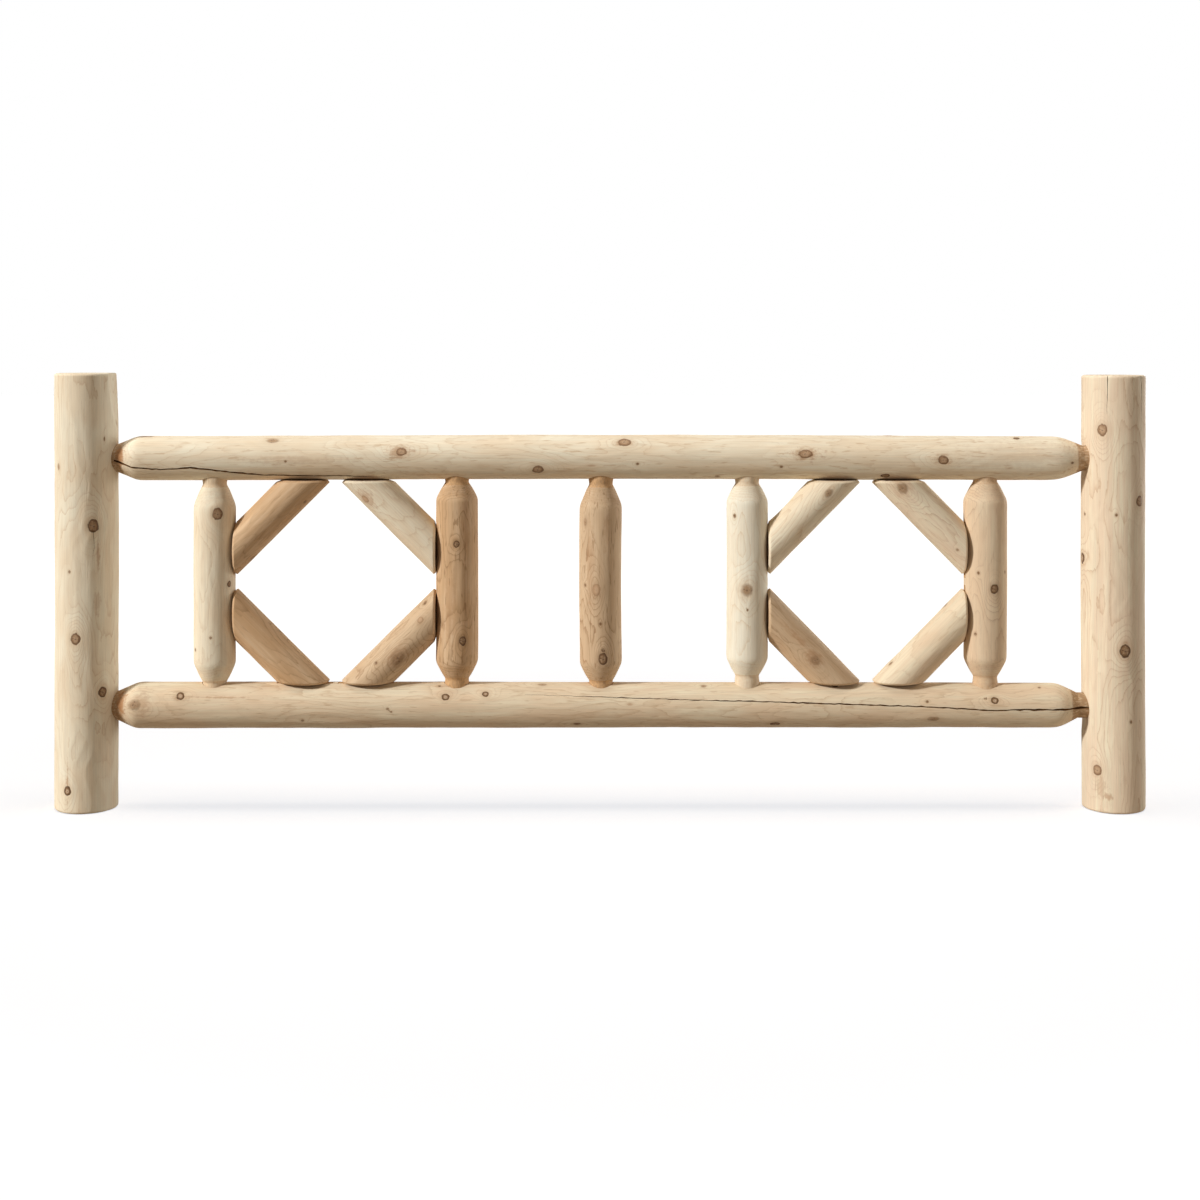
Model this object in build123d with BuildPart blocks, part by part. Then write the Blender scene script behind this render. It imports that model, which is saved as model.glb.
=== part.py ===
from build123d import *
import os
from math import atan2, cos, radians, sin, sqrt

# End frame of a rustic log bed: two posts, two rails, five spindles and two diamonds of
# four braces, all peeled logs, with the screws and inserts that hold them together.
# Millimetres. +X runs along the rails, +Y towards the mattress and +Z up. The origin is on
# the floor, midway between the posts, and every log has its axis in the plane Y = 0.

# ---------------------------------------------------------------- driving dimensions
clear_width = 1930.0            # between the posts, the width of a king mattress

post_diameter = 124.0
left_post_height = 868.0
right_post_height = 864.0
post_ease = 6.0                 # rounding of the sawn ends

top_rail_height = 698.0         # axis above the floor
top_rail_diameter = 89.0
bottom_rail_height = 204.0
bottom_rail_diameter = 92.0

rail_tenon_diameter = 50.0
rail_tenon_depth = 80.0         # into each post
left_shoulder_entry = 6.0       # the left shoulders are driven into a reamed mouth
left_shoulder_length = 48.0
top_right_neck = 1.0            # bare tenon left between shoulder and right post
top_right_shoulder = 48.0
bottom_right_neck = 12.0
bottom_right_shoulder = 41.0
shoulder_round = 60.0           # radius where a rail's shoulder runs out into the log

scoop_depth = 7.5               # gouged hollows round the mortises of the right post
top_scoop_height = 88.0
bottom_scoop_height = 94.0
bottom_scoop_drop = 18.0        # the lower hollow sits below its rail's axis

outer_bay = 195.0               # from a post's inner side to the axis of its next spindle
left_diamond_bay = 484.0        # between the axes of the spindles beside a diamond
right_diamond_bay = 476.0
middle_spindle_shift = 2.0      # off the middle of the bed
spindle_diameters = (83.0, 84.0, 84.5, 83.0, 84.0)
spindle_top_necks = (8.0, 4.0, 8.0, 6.0, 2.0)
spindle_top_shoulders = (42.0, 32.0, 42.0, 34.0, 35.0)
spindle_bottom_necks = (1.0, 8.0, 3.0, 14.0, 12.0)
spindle_bottom_shoulders = (37.0, 34.0, 36.0, 34.0, 34.0)
spindle_tenon_diameter = 50.0
spindle_tenon_depth = 48.0      # into each rail
spindle_round = 34.0            # radius where a spindle's shoulder runs out

brace_diameter = 76.0
peak_gap = 14.0                 # between two braces where they meet a rail
waist_gap = 18.0                # between two braces where they meet a spindle
seat_depth = 1.0                # flat planed on a log under the end of a brace
seat_margin = 2.0               # that flat beyond the brace, at each end
brace_ease = 2.0                # broken edge round each sawn end

tenon_chamfer = 3.0
tenon_clearance = 0.3           # round a tenon, filled with glue
tenon_end_room = 4.0            # beyond the end of a tenon

lag_inset = 50.0                # lag screw from the post's inner side
lag_diameter = 9.5
lag_length = 88.0               # under the head
lag_tip_length = 9.0
lag_head_width = 14.3           # across the flats
lag_head_height = 6.2
lag_recess_diameter = 25.0
lag_recess_depth = 16.0
washer_diameter = 22.0
washer_thickness = 1.6

spindle_screw_diameter = 4.0
spindle_screw_length = 44.0
spindle_screw_head_diameter = 8.0
spindle_screw_sink = 3.0
spindle_screw_inset = 30.0      # from the rail's edge, along the tenon

brace_screw_diameter = 5.0
brace_screw_length = 76.0
brace_screw_head_diameter = 9.5
brace_screw_bite = 34.0         # past the seat, along the screw
brace_screw_tilt = 30.0         # degrees from square to the seat, driven from behind
screw_clearance = 0.1           # between a screw and its bore
head_clearance = 0.4            # round a sunk screw head

insert_diameter = 16.0          # threaded inserts for the side rails
insert_length = 25.0
insert_bore = 9.5
insert_ease = 0.8
insert_sink = 1.5
insert_height = 300.0           # middle of the pair above the floor
insert_spacing = 64.0
bolt_room = 10.0                # bored past the insert for the end of a bolt

# ---------------------------------------------------------------- derived places
post_radius = post_diameter / 2
inner_face = clear_width / 2                  # where a rail meets a post
post_place = inner_face + post_radius
rail_underside = top_rail_height - top_rail_diameter / 2
rail_topside = bottom_rail_height + bottom_rail_diameter / 2
waist_height = (rail_underside + rail_topside) / 2
spindle_places = {
    "spindle_1": -inner_face + outer_bay,
    "spindle_2": -inner_face + outer_bay + left_diamond_bay,
    "spindle_3": middle_spindle_shift,
    "spindle_4": inner_face - outer_bay - right_diamond_bay,
    "spindle_5": inner_face - outer_bay,
}
spindle_radii = {
    name: diameter / 2 for name, diameter in zip(spindle_places, spindle_diameters)
}
lag_place = inner_face + lag_inset
lag_recess_mouth = sqrt(post_radius**2 - (post_place - lag_place) ** 2)
washer_seat = lag_recess_mouth - lag_recess_depth
insert_levels = (insert_height - insert_spacing / 2, insert_height + insert_spacing / 2)
spindle_screw_levels = {
    "top_rail": rail_underside + spindle_screw_inset,
    "bottom_rail": rail_topside - spindle_screw_inset,
}
cutter_reach = 2 * post_diameter              # longer than any log is thick
bays = {"left": ("spindle_1", "spindle_2"), "right": ("spindle_4", "spindle_5")}

os.makedirs("parts", exist_ok=True)


# ---------------------------------------------------------------- shapes used more than once
def turn_log(base, along, body_diameter, tenon_diameter, stations, rounding, clearance=0.0,
             mode=Mode.ADD):
    """Revolve a log with a tenon at each end about the line through base.

    stations are places along that line: the first tenon's end, the two ends of the first
    shoulder, the two ends of the second shoulder and the second tenon's end.
    """
    start, neck_a, body_a, body_b, neck_b, end = stations
    thin = tenon_diameter / 2 + clearance
    thick = body_diameter / 2 + clearance
    with BuildSketch(Plane(origin=base, x_dir=along, z_dir=(0, -1, 0))) as outline:
        with BuildLine():
            Polyline(
                (start, 0),
                (start, thin - tenon_chamfer),
                (start + tenon_chamfer, thin),
                (neck_a, thin),
                (body_a, thick),
                (body_b, thick),
                (neck_b, thin),
                (end - tenon_chamfer, thin),
                (end, thin - tenon_chamfer),
                (end, 0),
                close=True,
            )
        make_face()
        fillet(outline.vertices().filter_by_position(Axis.Y, thick, thick), rounding)
    revolve(outline.sketch, axis=Axis(base, along), mode=mode)


def turn_screw(head, driven, length, shank_diameter, head_diameter):
    """Revolve a countersunk wood screw from the top of its head along the driven direction."""
    shank = shank_diameter / 2
    rim = head_diameter / 2
    square = (0, 0, 1) if driven.Z == 0 else (1, 0, 0)
    with BuildSketch(Plane(origin=head, x_dir=driven, z_dir=square)) as outline:
        with BuildLine():
            Polyline((0, 0), (0, rim), (rim - shank, shank), (length - rim, shank),
                     (length, 0), close=True)
        make_face()
    revolve(outline.sketch, axis=Axis(head, driven))


def bore(mouth, outward, depth, diameter):
    """Bore a blind hole inwards from its mouth."""
    with Locations(Plane(origin=mouth, z_dir=outward)):
        Hole(diameter / 2 + screw_clearance, depth)


def bore_and_sink(head, driven, length, shank_diameter, head_diameter):
    """Bore for a countersunk screw, with the hollow over its head cut out of the wood."""
    with Locations(Plane(origin=head, z_dir=-driven)):
        CounterSinkHole(
            shank_diameter / 2 + screw_clearance,
            head_diameter / 2 + head_clearance,
            length + screw_clearance,
            90,
        )


def keep(piece, name):
    """Label a finished piece and write it."""
    piece.part.label = name
    export_step(piece.part, f"parts/{name}.step")


# ---------------------------------------------------------------- places of the braces
class Brace:
    """Where one brace meets its rail and its spindle, and the screws through its ends.

    The edges of two neighbouring braces stay peak_gap apart at a rail and waist_gap apart
    at a spindle, which sets the slope of every brace, close to 45 degrees.
    """

    def __init__(self, bay, level, side):
        left, right = bays[bay]
        self.name = f"brace_{bay}_{level}_{side}"
        self.spindle = left if side == "left" else right
        self.rail = "top_rail" if level == "upper" else "bottom_rail"
        self.outwards = -1 if side == "left" else 1      # along X, from the bay's middle
        self.upwards = 1 if level == "upper" else -1     # along Z, from the waist
        left_seat = spindle_places[left] + spindle_radii[left] - seat_depth
        right_seat = spindle_places[right] - spindle_radii[right] + seat_depth
        bay_middle = (left_seat + right_seat) / 2
        half_width = (right_seat - left_seat) / 2
        half_height = rail_underside - waist_height + seat_depth
        slope = atan2(half_height - waist_gap / 2, half_width - peak_gap / 2)
        self.rail_footprint = brace_diameter / sin(slope)
        self.spindle_footprint = brace_diameter / cos(slope)
        self.rail_end = Vector(
            bay_middle + self.outwards * (peak_gap + self.rail_footprint) / 2,
            0,
            waist_height + self.upwards * half_height,
        )
        self.spindle_end = Vector(
            bay_middle + self.outwards * half_width,
            0,
            waist_height + self.upwards * (waist_gap + self.spindle_footprint) / 2,
        )

    def screws(self):
        """The log that each screw ends in, the place of its head and the way it is driven."""
        tilt = radians(brace_screw_tilt)
        into_rail = Vector(0, -sin(tilt), self.upwards * cos(tilt))
        into_spindle = Vector(self.outwards * cos(tilt), -sin(tilt), 0)
        head_distance = brace_screw_length - brace_screw_bite
        return [
            (self.rail, self.rail_end - into_rail * head_distance, into_rail),
            (self.spindle, self.spindle_end - into_spindle * head_distance, into_spindle),
        ]


braces = [
    Brace(bay, level, side)
    for bay in bays
    for level in ("upper", "lower")
    for side in ("left", "right")
]


def bore_for_brace_screws(host):
    """Bore this rail or spindle for the brace screws that end in it."""
    for brace in braces:
        for screw_host, head, driven in brace.screws():
            if screw_host == host:
                bore(head, -driven, brace_screw_length, brace_screw_diameter)


# ---------------------------------------------------------------- rails
right_ends = {
    "top_rail": (top_right_neck, top_right_shoulder),
    "bottom_rail": (bottom_right_neck, bottom_right_shoulder),
}
rail_stations = {
    name: (
        -inner_face - rail_tenon_depth,
        -inner_face - left_shoulder_entry,
        -inner_face - left_shoulder_entry + left_shoulder_length,
        inner_face - neck - shoulder,
        inner_face - neck,
        inner_face + rail_tenon_depth,
    )
    for name, (neck, shoulder) in right_ends.items()
}
rail_diameters = {"top_rail": top_rail_diameter, "bottom_rail": bottom_rail_diameter}
rail_heights = {"top_rail": top_rail_height, "bottom_rail": bottom_rail_height}
rail_edges = {"top_rail": rail_underside, "bottom_rail": rail_topside}


def spindle_screw_place(rail, place):
    """Where the head of the screw that locks a spindle's tenon sits, sunk in the rail's back."""
    level = spindle_screw_levels[rail]
    radius = rail_diameters[rail] / 2
    back = sqrt(radius**2 - (level - rail_heights[rail]) ** 2)
    return Vector(place, back - spindle_screw_sink, level)


driven_forward = Vector(0, -1, 0)

rails = {}
for name, stations in rail_stations.items():
    inwards = 1 if name == "top_rail" else -1     # along Z, from the spindles into the rail
    with BuildPart() as rail:
        turn_log((0, 0, rail_heights[name]), (1, 0, 0), rail_diameters[name],
                 rail_tenon_diameter, stations, shoulder_round)
        for brace in braces:
            if brace.rail == name:
                with Locations(brace.rail_end - Vector(0, 0, inwards * cutter_reach / 2)):
                    Box(brace.rail_footprint + 2 * seat_margin, cutter_reach, cutter_reach,
                        mode=Mode.SUBTRACT)
        for place in spindle_places.values():
            with Locations(Plane(origin=(place, 0, rail_edges[name]), z_dir=(0, 0, -inwards))):
                Hole(spindle_tenon_diameter / 2 + tenon_clearance,
                     spindle_tenon_depth + tenon_end_room)
            bore_and_sink(spindle_screw_place(name, place), driven_forward,
                          spindle_screw_length, spindle_screw_diameter,
                          spindle_screw_head_diameter)
        for side in (-1, 1):
            bore((side * lag_place, washer_seat, rail_heights[name]), (0, 1, 0), lag_length,
                 lag_diameter)
        bore_for_brace_screws(name)
    rails[name] = rail
    keep(rail, name)


# ---------------------------------------------------------------- posts
post_heights = {"left_post": left_post_height, "right_post": right_post_height}
scoops = (
    (top_rail_height, top_scoop_height),
    (bottom_rail_height - bottom_scoop_drop, bottom_scoop_height),
)

for name, height in post_heights.items():
    side = -1 if name == "left_post" else 1       # along X, from the middle of the bed
    with BuildPart() as post:
        with Locations((side * post_place, 0, 0)):
            Cylinder(post_radius, height, align=(Align.CENTER, Align.CENTER, Align.MIN))
        fillet(post.edges().filter_by(GeomType.CIRCLE), post_ease)
        for rail_name, stations in rail_stations.items():
            hole_stations = (
                stations[0] - tenon_end_room,
                *stations[1:5],
                stations[5] + tenon_end_room,
            )
            turn_log((0, 0, rail_heights[rail_name]), (1, 0, 0), rail_diameters[rail_name],
                     rail_tenon_diameter, hole_stations, shoulder_round, tenon_clearance,
                     mode=Mode.SUBTRACT)
            with Locations(Plane(
                    origin=(side * lag_place, lag_recess_mouth, rail_heights[rail_name]),
                    z_dir=(0, 1, 0))):
                CounterBoreHole(
                    lag_diameter / 2 + screw_clearance,
                    lag_recess_diameter / 2,
                    lag_recess_depth,
                    lag_recess_depth + lag_length,
                )
        if name == "right_post":
            for level, chord in scoops:
                scoop_radius = (chord**2 / 4 + scoop_depth**2) / (2 * scoop_depth)
                centre = inner_face + scoop_depth - scoop_radius
                with Locations((centre, 0, level)):
                    Cylinder(scoop_radius, cutter_reach, rotation=(90, 0, 0),
                             mode=Mode.SUBTRACT)
        for level in insert_levels:
            with Locations(Plane(origin=(side * post_place, post_radius, level),
                                 z_dir=(0, 1, 0))):
                CounterBoreHole(
                    insert_bore / 2,
                    insert_diameter / 2 + screw_clearance,
                    insert_sink + insert_length,
                    insert_sink + insert_length + bolt_room,
                )
    keep(post, name)

# ---------------------------------------------------------------- spindles
for index, (name, place) in enumerate(spindle_places.items()):
    bottom_neck = rail_topside + spindle_bottom_necks[index]
    top_neck = rail_underside - spindle_top_necks[index]
    spindle_stations = (
        rail_topside - spindle_tenon_depth,
        bottom_neck,
        bottom_neck + spindle_bottom_shoulders[index],
        top_neck - spindle_top_shoulders[index],
        top_neck,
        rail_underside + spindle_tenon_depth,
    )
    with BuildPart() as spindle:
        turn_log((place, 0, 0), (0, 0, 1), spindle_diameters[index], spindle_tenon_diameter,
                 spindle_stations, spindle_round)
        for brace in braces:
            if brace.spindle == name:
                bay_side = Vector(-brace.outwards * cutter_reach / 2, 0, 0)
                with Locations(brace.spindle_end + bay_side):
                    Box(cutter_reach, cutter_reach, brace.spindle_footprint + 2 * seat_margin,
                        mode=Mode.SUBTRACT)
        bore_for_brace_screws(name)
        for rail_name in rail_stations:
            bore(spindle_screw_place(rail_name, place), -driven_forward, spindle_screw_length,
                 spindle_screw_diameter)
    keep(spindle, name)

# ---------------------------------------------------------------- braces
for brace in braces:
    middle = (brace.rail_end + brace.spindle_end) / 2
    along = brace.rail_end - brace.spindle_end
    rail_cut = Plane(origin=brace.rail_end, z_dir=(0, 0, brace.upwards))
    spindle_cut = Plane(origin=brace.spindle_end, z_dir=(brace.outwards, 0, 0))
    with BuildPart() as log:
        with BuildSketch(Plane(origin=middle, x_dir=(0, 1, 0), z_dir=along)):
            Circle(brace_diameter / 2)
        extrude(amount=along.length / 2 + brace_diameter, both=True)
        split(bisect_by=rail_cut, keep=Keep.BOTTOM)
        split(bisect_by=spindle_cut, keep=Keep.BOTTOM)
        chamfer(log.faces().filter_by(GeomType.PLANE).edges(), brace_ease)
        for _, head, driven in brace.screws():
            bore_and_sink(head, driven, brace_screw_length, brace_screw_diameter,
                          brace_screw_head_diameter)
    keep(log, brace.name)

# ---------------------------------------------------------------- screws, washers and inserts
with BuildPart() as rail_lag_screws:
    for side in (-1, 1):
        for level in rail_heights.values():
            seat = Vector(side * lag_place, washer_seat + washer_thickness, level)
            with BuildSketch(Plane(origin=seat, z_dir=(0, 1, 0))):
                RegularPolygon(lag_head_width / 2, 6, major_radius=False)
            extrude(amount=lag_head_height)
            with BuildSketch(Plane(origin=seat, x_dir=driven_forward, z_dir=(1, 0, 0))):
                with BuildLine():
                    Polyline((0, 0), (0, lag_diameter / 2),
                             (lag_length - lag_tip_length, lag_diameter / 2),
                             (lag_length, 0), close=True)
                make_face()
            revolve(axis=Axis(seat, driven_forward))
keep(rail_lag_screws, "rail_lag_screws")

with BuildPart() as lag_washers:
    for side in (-1, 1):
        for level in rail_heights.values():
            seat = Plane(origin=(side * lag_place, washer_seat, level), z_dir=(0, 1, 0))
            with BuildSketch(seat):
                Circle(washer_diameter / 2)
                Circle(lag_diameter / 2 + screw_clearance, mode=Mode.SUBTRACT)
            extrude(amount=washer_thickness)
keep(lag_washers, "lag_washers")

with BuildPart() as spindle_screws:
    for rail_name in rail_stations:
        for place in spindle_places.values():
            turn_screw(spindle_screw_place(rail_name, place), driven_forward,
                       spindle_screw_length, spindle_screw_diameter,
                       spindle_screw_head_diameter)
keep(spindle_screws, "spindle_screws")

with BuildPart() as brace_screws:
    for brace in braces:
        for _, head, driven in brace.screws():
            turn_screw(head, driven, brace_screw_length, brace_screw_diameter,
                       brace_screw_head_diameter)
keep(brace_screws, "brace_screws")

with BuildPart() as side_rail_inserts:
    for side in (-1, 1):
        for level in insert_levels:
            mouth = Plane(origin=(side * post_place, post_radius - insert_sink, level),
                          z_dir=(0, 1, 0))
            with BuildSketch(mouth):
                Circle(insert_diameter / 2)
                Circle(insert_bore / 2, mode=Mode.SUBTRACT)
            extrude(amount=-insert_length)
    chamfer(
        side_rail_inserts.edges().filter_by(GeomType.CIRCLE)
        .filter_by(lambda edge: edge.radius > insert_bore / 2 + screw_clearance),
        insert_ease,
    )
keep(side_rail_inserts, "side_rail_inserts")
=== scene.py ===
"""Dresses the frame of a log bed end in peeled, knotted and checked logs, and sets its studio."""

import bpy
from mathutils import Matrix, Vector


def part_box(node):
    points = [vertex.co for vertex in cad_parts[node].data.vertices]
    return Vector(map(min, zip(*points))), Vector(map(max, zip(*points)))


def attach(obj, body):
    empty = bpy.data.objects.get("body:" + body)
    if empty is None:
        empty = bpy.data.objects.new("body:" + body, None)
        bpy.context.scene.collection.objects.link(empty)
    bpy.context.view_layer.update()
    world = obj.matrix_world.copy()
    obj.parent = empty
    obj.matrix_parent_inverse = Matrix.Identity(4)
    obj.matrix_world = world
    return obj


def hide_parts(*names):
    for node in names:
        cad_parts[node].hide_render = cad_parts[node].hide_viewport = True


bl_info = {
    "name": "Peeled Log Bed End",
    "version": (1, 0, 0),
    "blender": (4, 5, 0),
    "location": "3D View > Sidebar > Log Bed",
    "description": "Dresses the frame of a log bed end in peeled, knotted and checked logs",
    "category": "Add Mesh",
}

import math
import random
from collections import namedtuple

import bmesh
import bpy
import numpy as np
from bpy.props import FloatProperty, FloatVectorProperty, IntProperty, PointerProperty
from mathutils import Matrix, Vector

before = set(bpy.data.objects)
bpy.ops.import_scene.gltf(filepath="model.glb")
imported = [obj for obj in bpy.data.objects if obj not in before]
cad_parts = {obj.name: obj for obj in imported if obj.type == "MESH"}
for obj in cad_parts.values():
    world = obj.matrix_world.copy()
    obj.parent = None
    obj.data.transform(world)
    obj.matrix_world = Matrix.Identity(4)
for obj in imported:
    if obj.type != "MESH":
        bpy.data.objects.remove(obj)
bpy.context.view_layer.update()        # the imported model: its nodes are fixed, and the logs are built round them
MM = 0.001
BACK = Vector((0.0, 1.0, 0.0))      # towards the mattress
OWN_WOOD, BORED, OPEN_CHECK, SAWN_END = range(4)     # material slots of a dressed log
SHARP = math.radians(38)            # edges that turn further than this stay sharp
WHITE = (1.0, 1.0, 1.0)

POSTS = ("left_post", "right_post")
RAILS = ("top_rail", "bottom_rail")
SPINDLES = ("spindle_1", "spindle_2", "spindle_3", "spindle_4", "spindle_5")
BAYS = {"left": ("spindle_1", "spindle_2"), "right": ("spindle_4", "spindle_5")}
SCREWS = ("spindle_screws", "brace_screws")
FASTENERS = (*SCREWS, "rail_lag_screws", "lag_washers", "side_rail_inserts")


# ------------------------------------------------------------------------------- settings
def size(name, description, default):
    """A size in metres."""
    return FloatProperty(name=name, description=description, default=default, min=0.0,
                         precision=4, unit="LENGTH")


def sizes(name, description, default):
    """A row of sizes in metres."""
    return FloatVectorProperty(name=name, description=description, size=len(default),
                               default=default, min=0.0, precision=4, unit="LENGTH")


def colour(name, description, default):
    """A colour, as linear light."""
    return FloatVectorProperty(name=name, description=description, size=3, default=default,
                               min=0.0, max=1.0, subtype="COLOR")


def amount(name, description, default):
    """A plain number that isn't negative."""
    return FloatProperty(name=name, description=description, default=default, min=0.0)


def count(name, description, default):
    """A whole number."""
    return IntProperty(name=name, description=description, default=default, min=1)


class LogBedJoinery(bpy.types.PropertyGroup):
    """How the logs are cut to fit each other."""

    tenon: size("Tenon diameter", "Round tenons of rails and spindles", 0.050)
    clearance: size("Tenon clearance", "Glue room round a tenon", 0.0003)
    end_room: size("Tenon end room", "Space beyond the end of a tenon", 0.004)
    shoulder_entry: size("Shoulder entry", "Left shoulders sunk in their post", 0.006)
    rail_left_shoulder: size("Left rail shoulder", "Length of the left shoulders", 0.048)
    rail_right_necks: sizes("Right rail necks", "Bare tenon, top rail then bottom rail",
                            (0.001, 0.012))
    rail_right_shoulders: sizes("Right rail shoulders", "Top rail, then bottom rail",
                                (0.048, 0.041))
    spindle_top_necks: sizes("Upper necks", "Bare tenon under the top rail, from the left",
                             (0.008, 0.004, 0.008, 0.006, 0.002))
    spindle_top_shoulders: sizes("Upper shoulders", "Taper from tenon to log, from the left",
                                 (0.042, 0.032, 0.042, 0.034, 0.035))
    spindle_bottom_necks: sizes("Lower necks", "Bare tenon over the bottom rail, from the left",
                                (0.001, 0.008, 0.003, 0.014, 0.012))
    spindle_bottom_shoulders: sizes("Lower shoulders", "Taper from log to tenon, from the left",
                                    (0.037, 0.034, 0.036, 0.034, 0.034))
    brace: size("Brace diameter", "The eight diagonal logs", 0.076)
    peak_gap: size("Gap at a rail", "Between two braces where they meet a rail", 0.014)
    waist_gap: size("Gap at a spindle", "Between two braces at a spindle", 0.018)
    seat_depth: size("Seat depth", "Flat planed under the end of a brace", 0.001)
    seat_margin: size("Seat margin", "That flat beyond the brace", 0.002)
    scoop_depth: size("Scoop depth", "Hollows gouged in the right post", 0.0075)
    scoop_chords: sizes("Scoop heights", "At the top rail, then the bottom rail", (0.088, 0.094))
    scoop_drops: sizes("Scoop drops", "Each hollow below its rail's axis", (0.0, 0.018))
    lag_recess: size("Lag recess", "Diameter of the hole over a lag screw's head", 0.025)
    head_clearance: size("Head clearance", "Round a sunk screw head", 0.0004)
    screw_clearance: size("Screw clearance", "Between a screw and its bore", 0.0001)
    bolt_bore: size("Bolt bore", "Past a side rail insert, for a bolt", 0.0095)
    bolt_room: size("Bolt room", "Bored past a side rail insert", 0.010)


class LogBedSurface(bpy.types.PropertyGroup):
    """The hand-peeled shape of the logs."""

    seed: count("Seed", "Changes the ripples and the marks on the back of every log", 7)
    ripple: size("Ripple", "Depth of the slow hollows along a log", 0.0018)
    facet: amount("Drawknife facets", "How flat each stroke of the drawknife is", 0.40)
    strokes: count("Drawknife strokes", "Facets round a log", 15)
    rail_softness: sizes("Rail softness", "Rounding of a rail's left and right shoulders",
                         (0.006, 0.012))
    spindle_softness: size("Spindle softness", "Rounding of a spindle's shoulders", 0.005)
    spindle_waist: size("Spindle waist", "Wear of the neck where the shoulder starts", 0.0015)
    post_ease: size("Eased posts", "Rounding of the sawn ends of a post", 0.0055)
    brace_ease: size("Eased braces", "Chamfer on the sawn ends of a brace", 0.0056)
    brace_blunt: size("Blunt tips", "Extra chamfer at the sharp tip of a brace", 0.0020)
    brace_crispness: amount("Crisp chamfer", "1 for a flat chamfer, 0 for a round edge", 0.75)
    swell: size("Knot swell", "Rise of the wood over a knot", 0.0012)
    post_sides: count("Post sides", "Faces round a post", 160)
    log_sides: count("Log sides", "Faces round every other log", 112)
    ring_gap: size("Face length", "Along posts, spindles and braces", 0.0028)
    rail_ring_gap: size("Rail face length", "Along the two rails", 0.0031)


class LogBedColours(bpy.types.PropertyGroup):
    """Wood colours, each a pale early wood, a warmer blush and a darker ring line."""

    ivory: colour("Ivory wood", "Sapwood of the whitest log", (0.97, 0.92, 0.76))
    ivory_blush: colour("Ivory blush", "Warm patches", (0.94, 0.83, 0.64))
    ivory_line: colour("Ivory line", "Late wood", (0.76, 0.57, 0.36))
    pale: colour("Pale wood", "Sapwood of the white logs", (0.95, 0.87, 0.68))
    pale_blush: colour("Pale blush", "Warm patches", (0.87, 0.70, 0.49))
    pale_line: colour("Pale line", "Late wood", (0.64, 0.44, 0.26))
    cream: colour("Cream wood", "Sapwood", (0.90, 0.79, 0.58))
    cream_blush: colour("Cream blush", "Warm patches", (0.81, 0.60, 0.40))
    cream_line: colour("Cream line", "Late wood", (0.58, 0.39, 0.22))
    honey: colour("Honey wood", "Sapwood of the yellower logs", (0.96, 0.86, 0.64))
    honey_blush: colour("Honey blush", "Warm patches", (0.88, 0.69, 0.50))
    honey_line: colour("Honey line", "Late wood", (0.58, 0.36, 0.20))
    tan: colour("Tan wood", "Sapwood", (0.77, 0.585, 0.385))
    tan_blush: colour("Tan blush", "Warm patches", (0.63, 0.43, 0.255))
    tan_line: colour("Tan line", "Late wood", (0.34, 0.18, 0.085))
    amber: colour("Amber wood", "Sapwood", (0.765, 0.55, 0.345))
    amber_blush: colour("Amber blush", "Warm patches", (0.61, 0.375, 0.19))
    amber_line: colour("Amber line", "Late wood", (0.32, 0.17, 0.075))
    rose: colour("Rose wood", "Sapwood", (0.87, 0.715, 0.505))
    rose_blush: colour("Rose blush", "Warm patches", (0.78, 0.57, 0.375))
    rose_line: colour("Rose line", "Late wood", (0.48, 0.29, 0.17))
    turned: colour("Turned wood", "Necks of the spindles", (0.70, 0.43, 0.21))
    turned_dark: colour("Weathered neck", "Necks of the rails", (0.40, 0.24, 0.125))
    knot: colour("Dark knot", "Body of a dead knot", (0.33, 0.19, 0.092))
    knot_light: colour("Light knot", "Body of a sound knot", (0.60, 0.365, 0.205))
    knot_rim: colour("Knot rim", "Bark ring and checks of a knot", (0.09, 0.046, 0.021))
    heart: colour("Knot heart", "Pale middle of some knots", (0.78, 0.59, 0.41))
    # stains are mostly bark left on the wood; the strong one at the left end of the top rail is partly painted
    # shade
    stain: colour("Stain", "Blotches of bark left on the wood", (0.46, 0.215, 0.085))
    rim_light: colour("Light knot rim", "Rim of a sound knot", (0.26, 0.14, 0.07))
    # painted shade: this dark colour inside every check stands in for the shade deep in the crack
    check: colour("Check", "Inside of a drying crack", (0.31, 0.155, 0.06))
    sawn: colour("Sawn end", "End grain of the braces", (0.36, 0.23, 0.13))
    bored: colour("Bored wood", "Inside of a hole", (0.50, 0.32, 0.17))
    zinc: colour("Zinc", "Plated screws", (0.56, 0.57, 0.58))
    floor: colour("Floor", "Studio floor", (0.76, 0.68, 0.59))
    floor_glow: colour("Floor glow", "The floor's own light, to the camera", (0.708, 0.748, 0.797))
    sky: colour("World light", "Colour of the even light", (1.0, 0.79, 0.58))


class LogBedStudio(bpy.types.PropertyGroup):
    """Camera, lamps and backdrop."""

    eye_distance: size("Camera distance", "In front of the plane of the logs", 3.6)
    eye_height: size("Camera height", "The camera looks level from here", 0.92)
    view_width: size("View width", "Seen in the plane of the logs", 2.4)
    view_middle: size("View middle", "Height of the middle of the view in that plane", 0.414)
    key: amount("Key lamp", "Watts of the large lamp at the upper left", 2900.0)
    top: amount("Top lamp", "Watts of the soft lamp overhead", 105.0)
    rim: amount("Rim lamp", "Watts of the lamp at the right, behind", 66.0)
    fill: amount("Fill lamp", "Watts of the weak lamp at the right, in front", 16.0)
    sky: amount("World light", "Strength of the even light", 0.13)


def settings(part):
    """One group of settings: joinery, surface, colours or studio."""
    return getattr(bpy.context.scene, f"log_bed_{part}")


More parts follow.
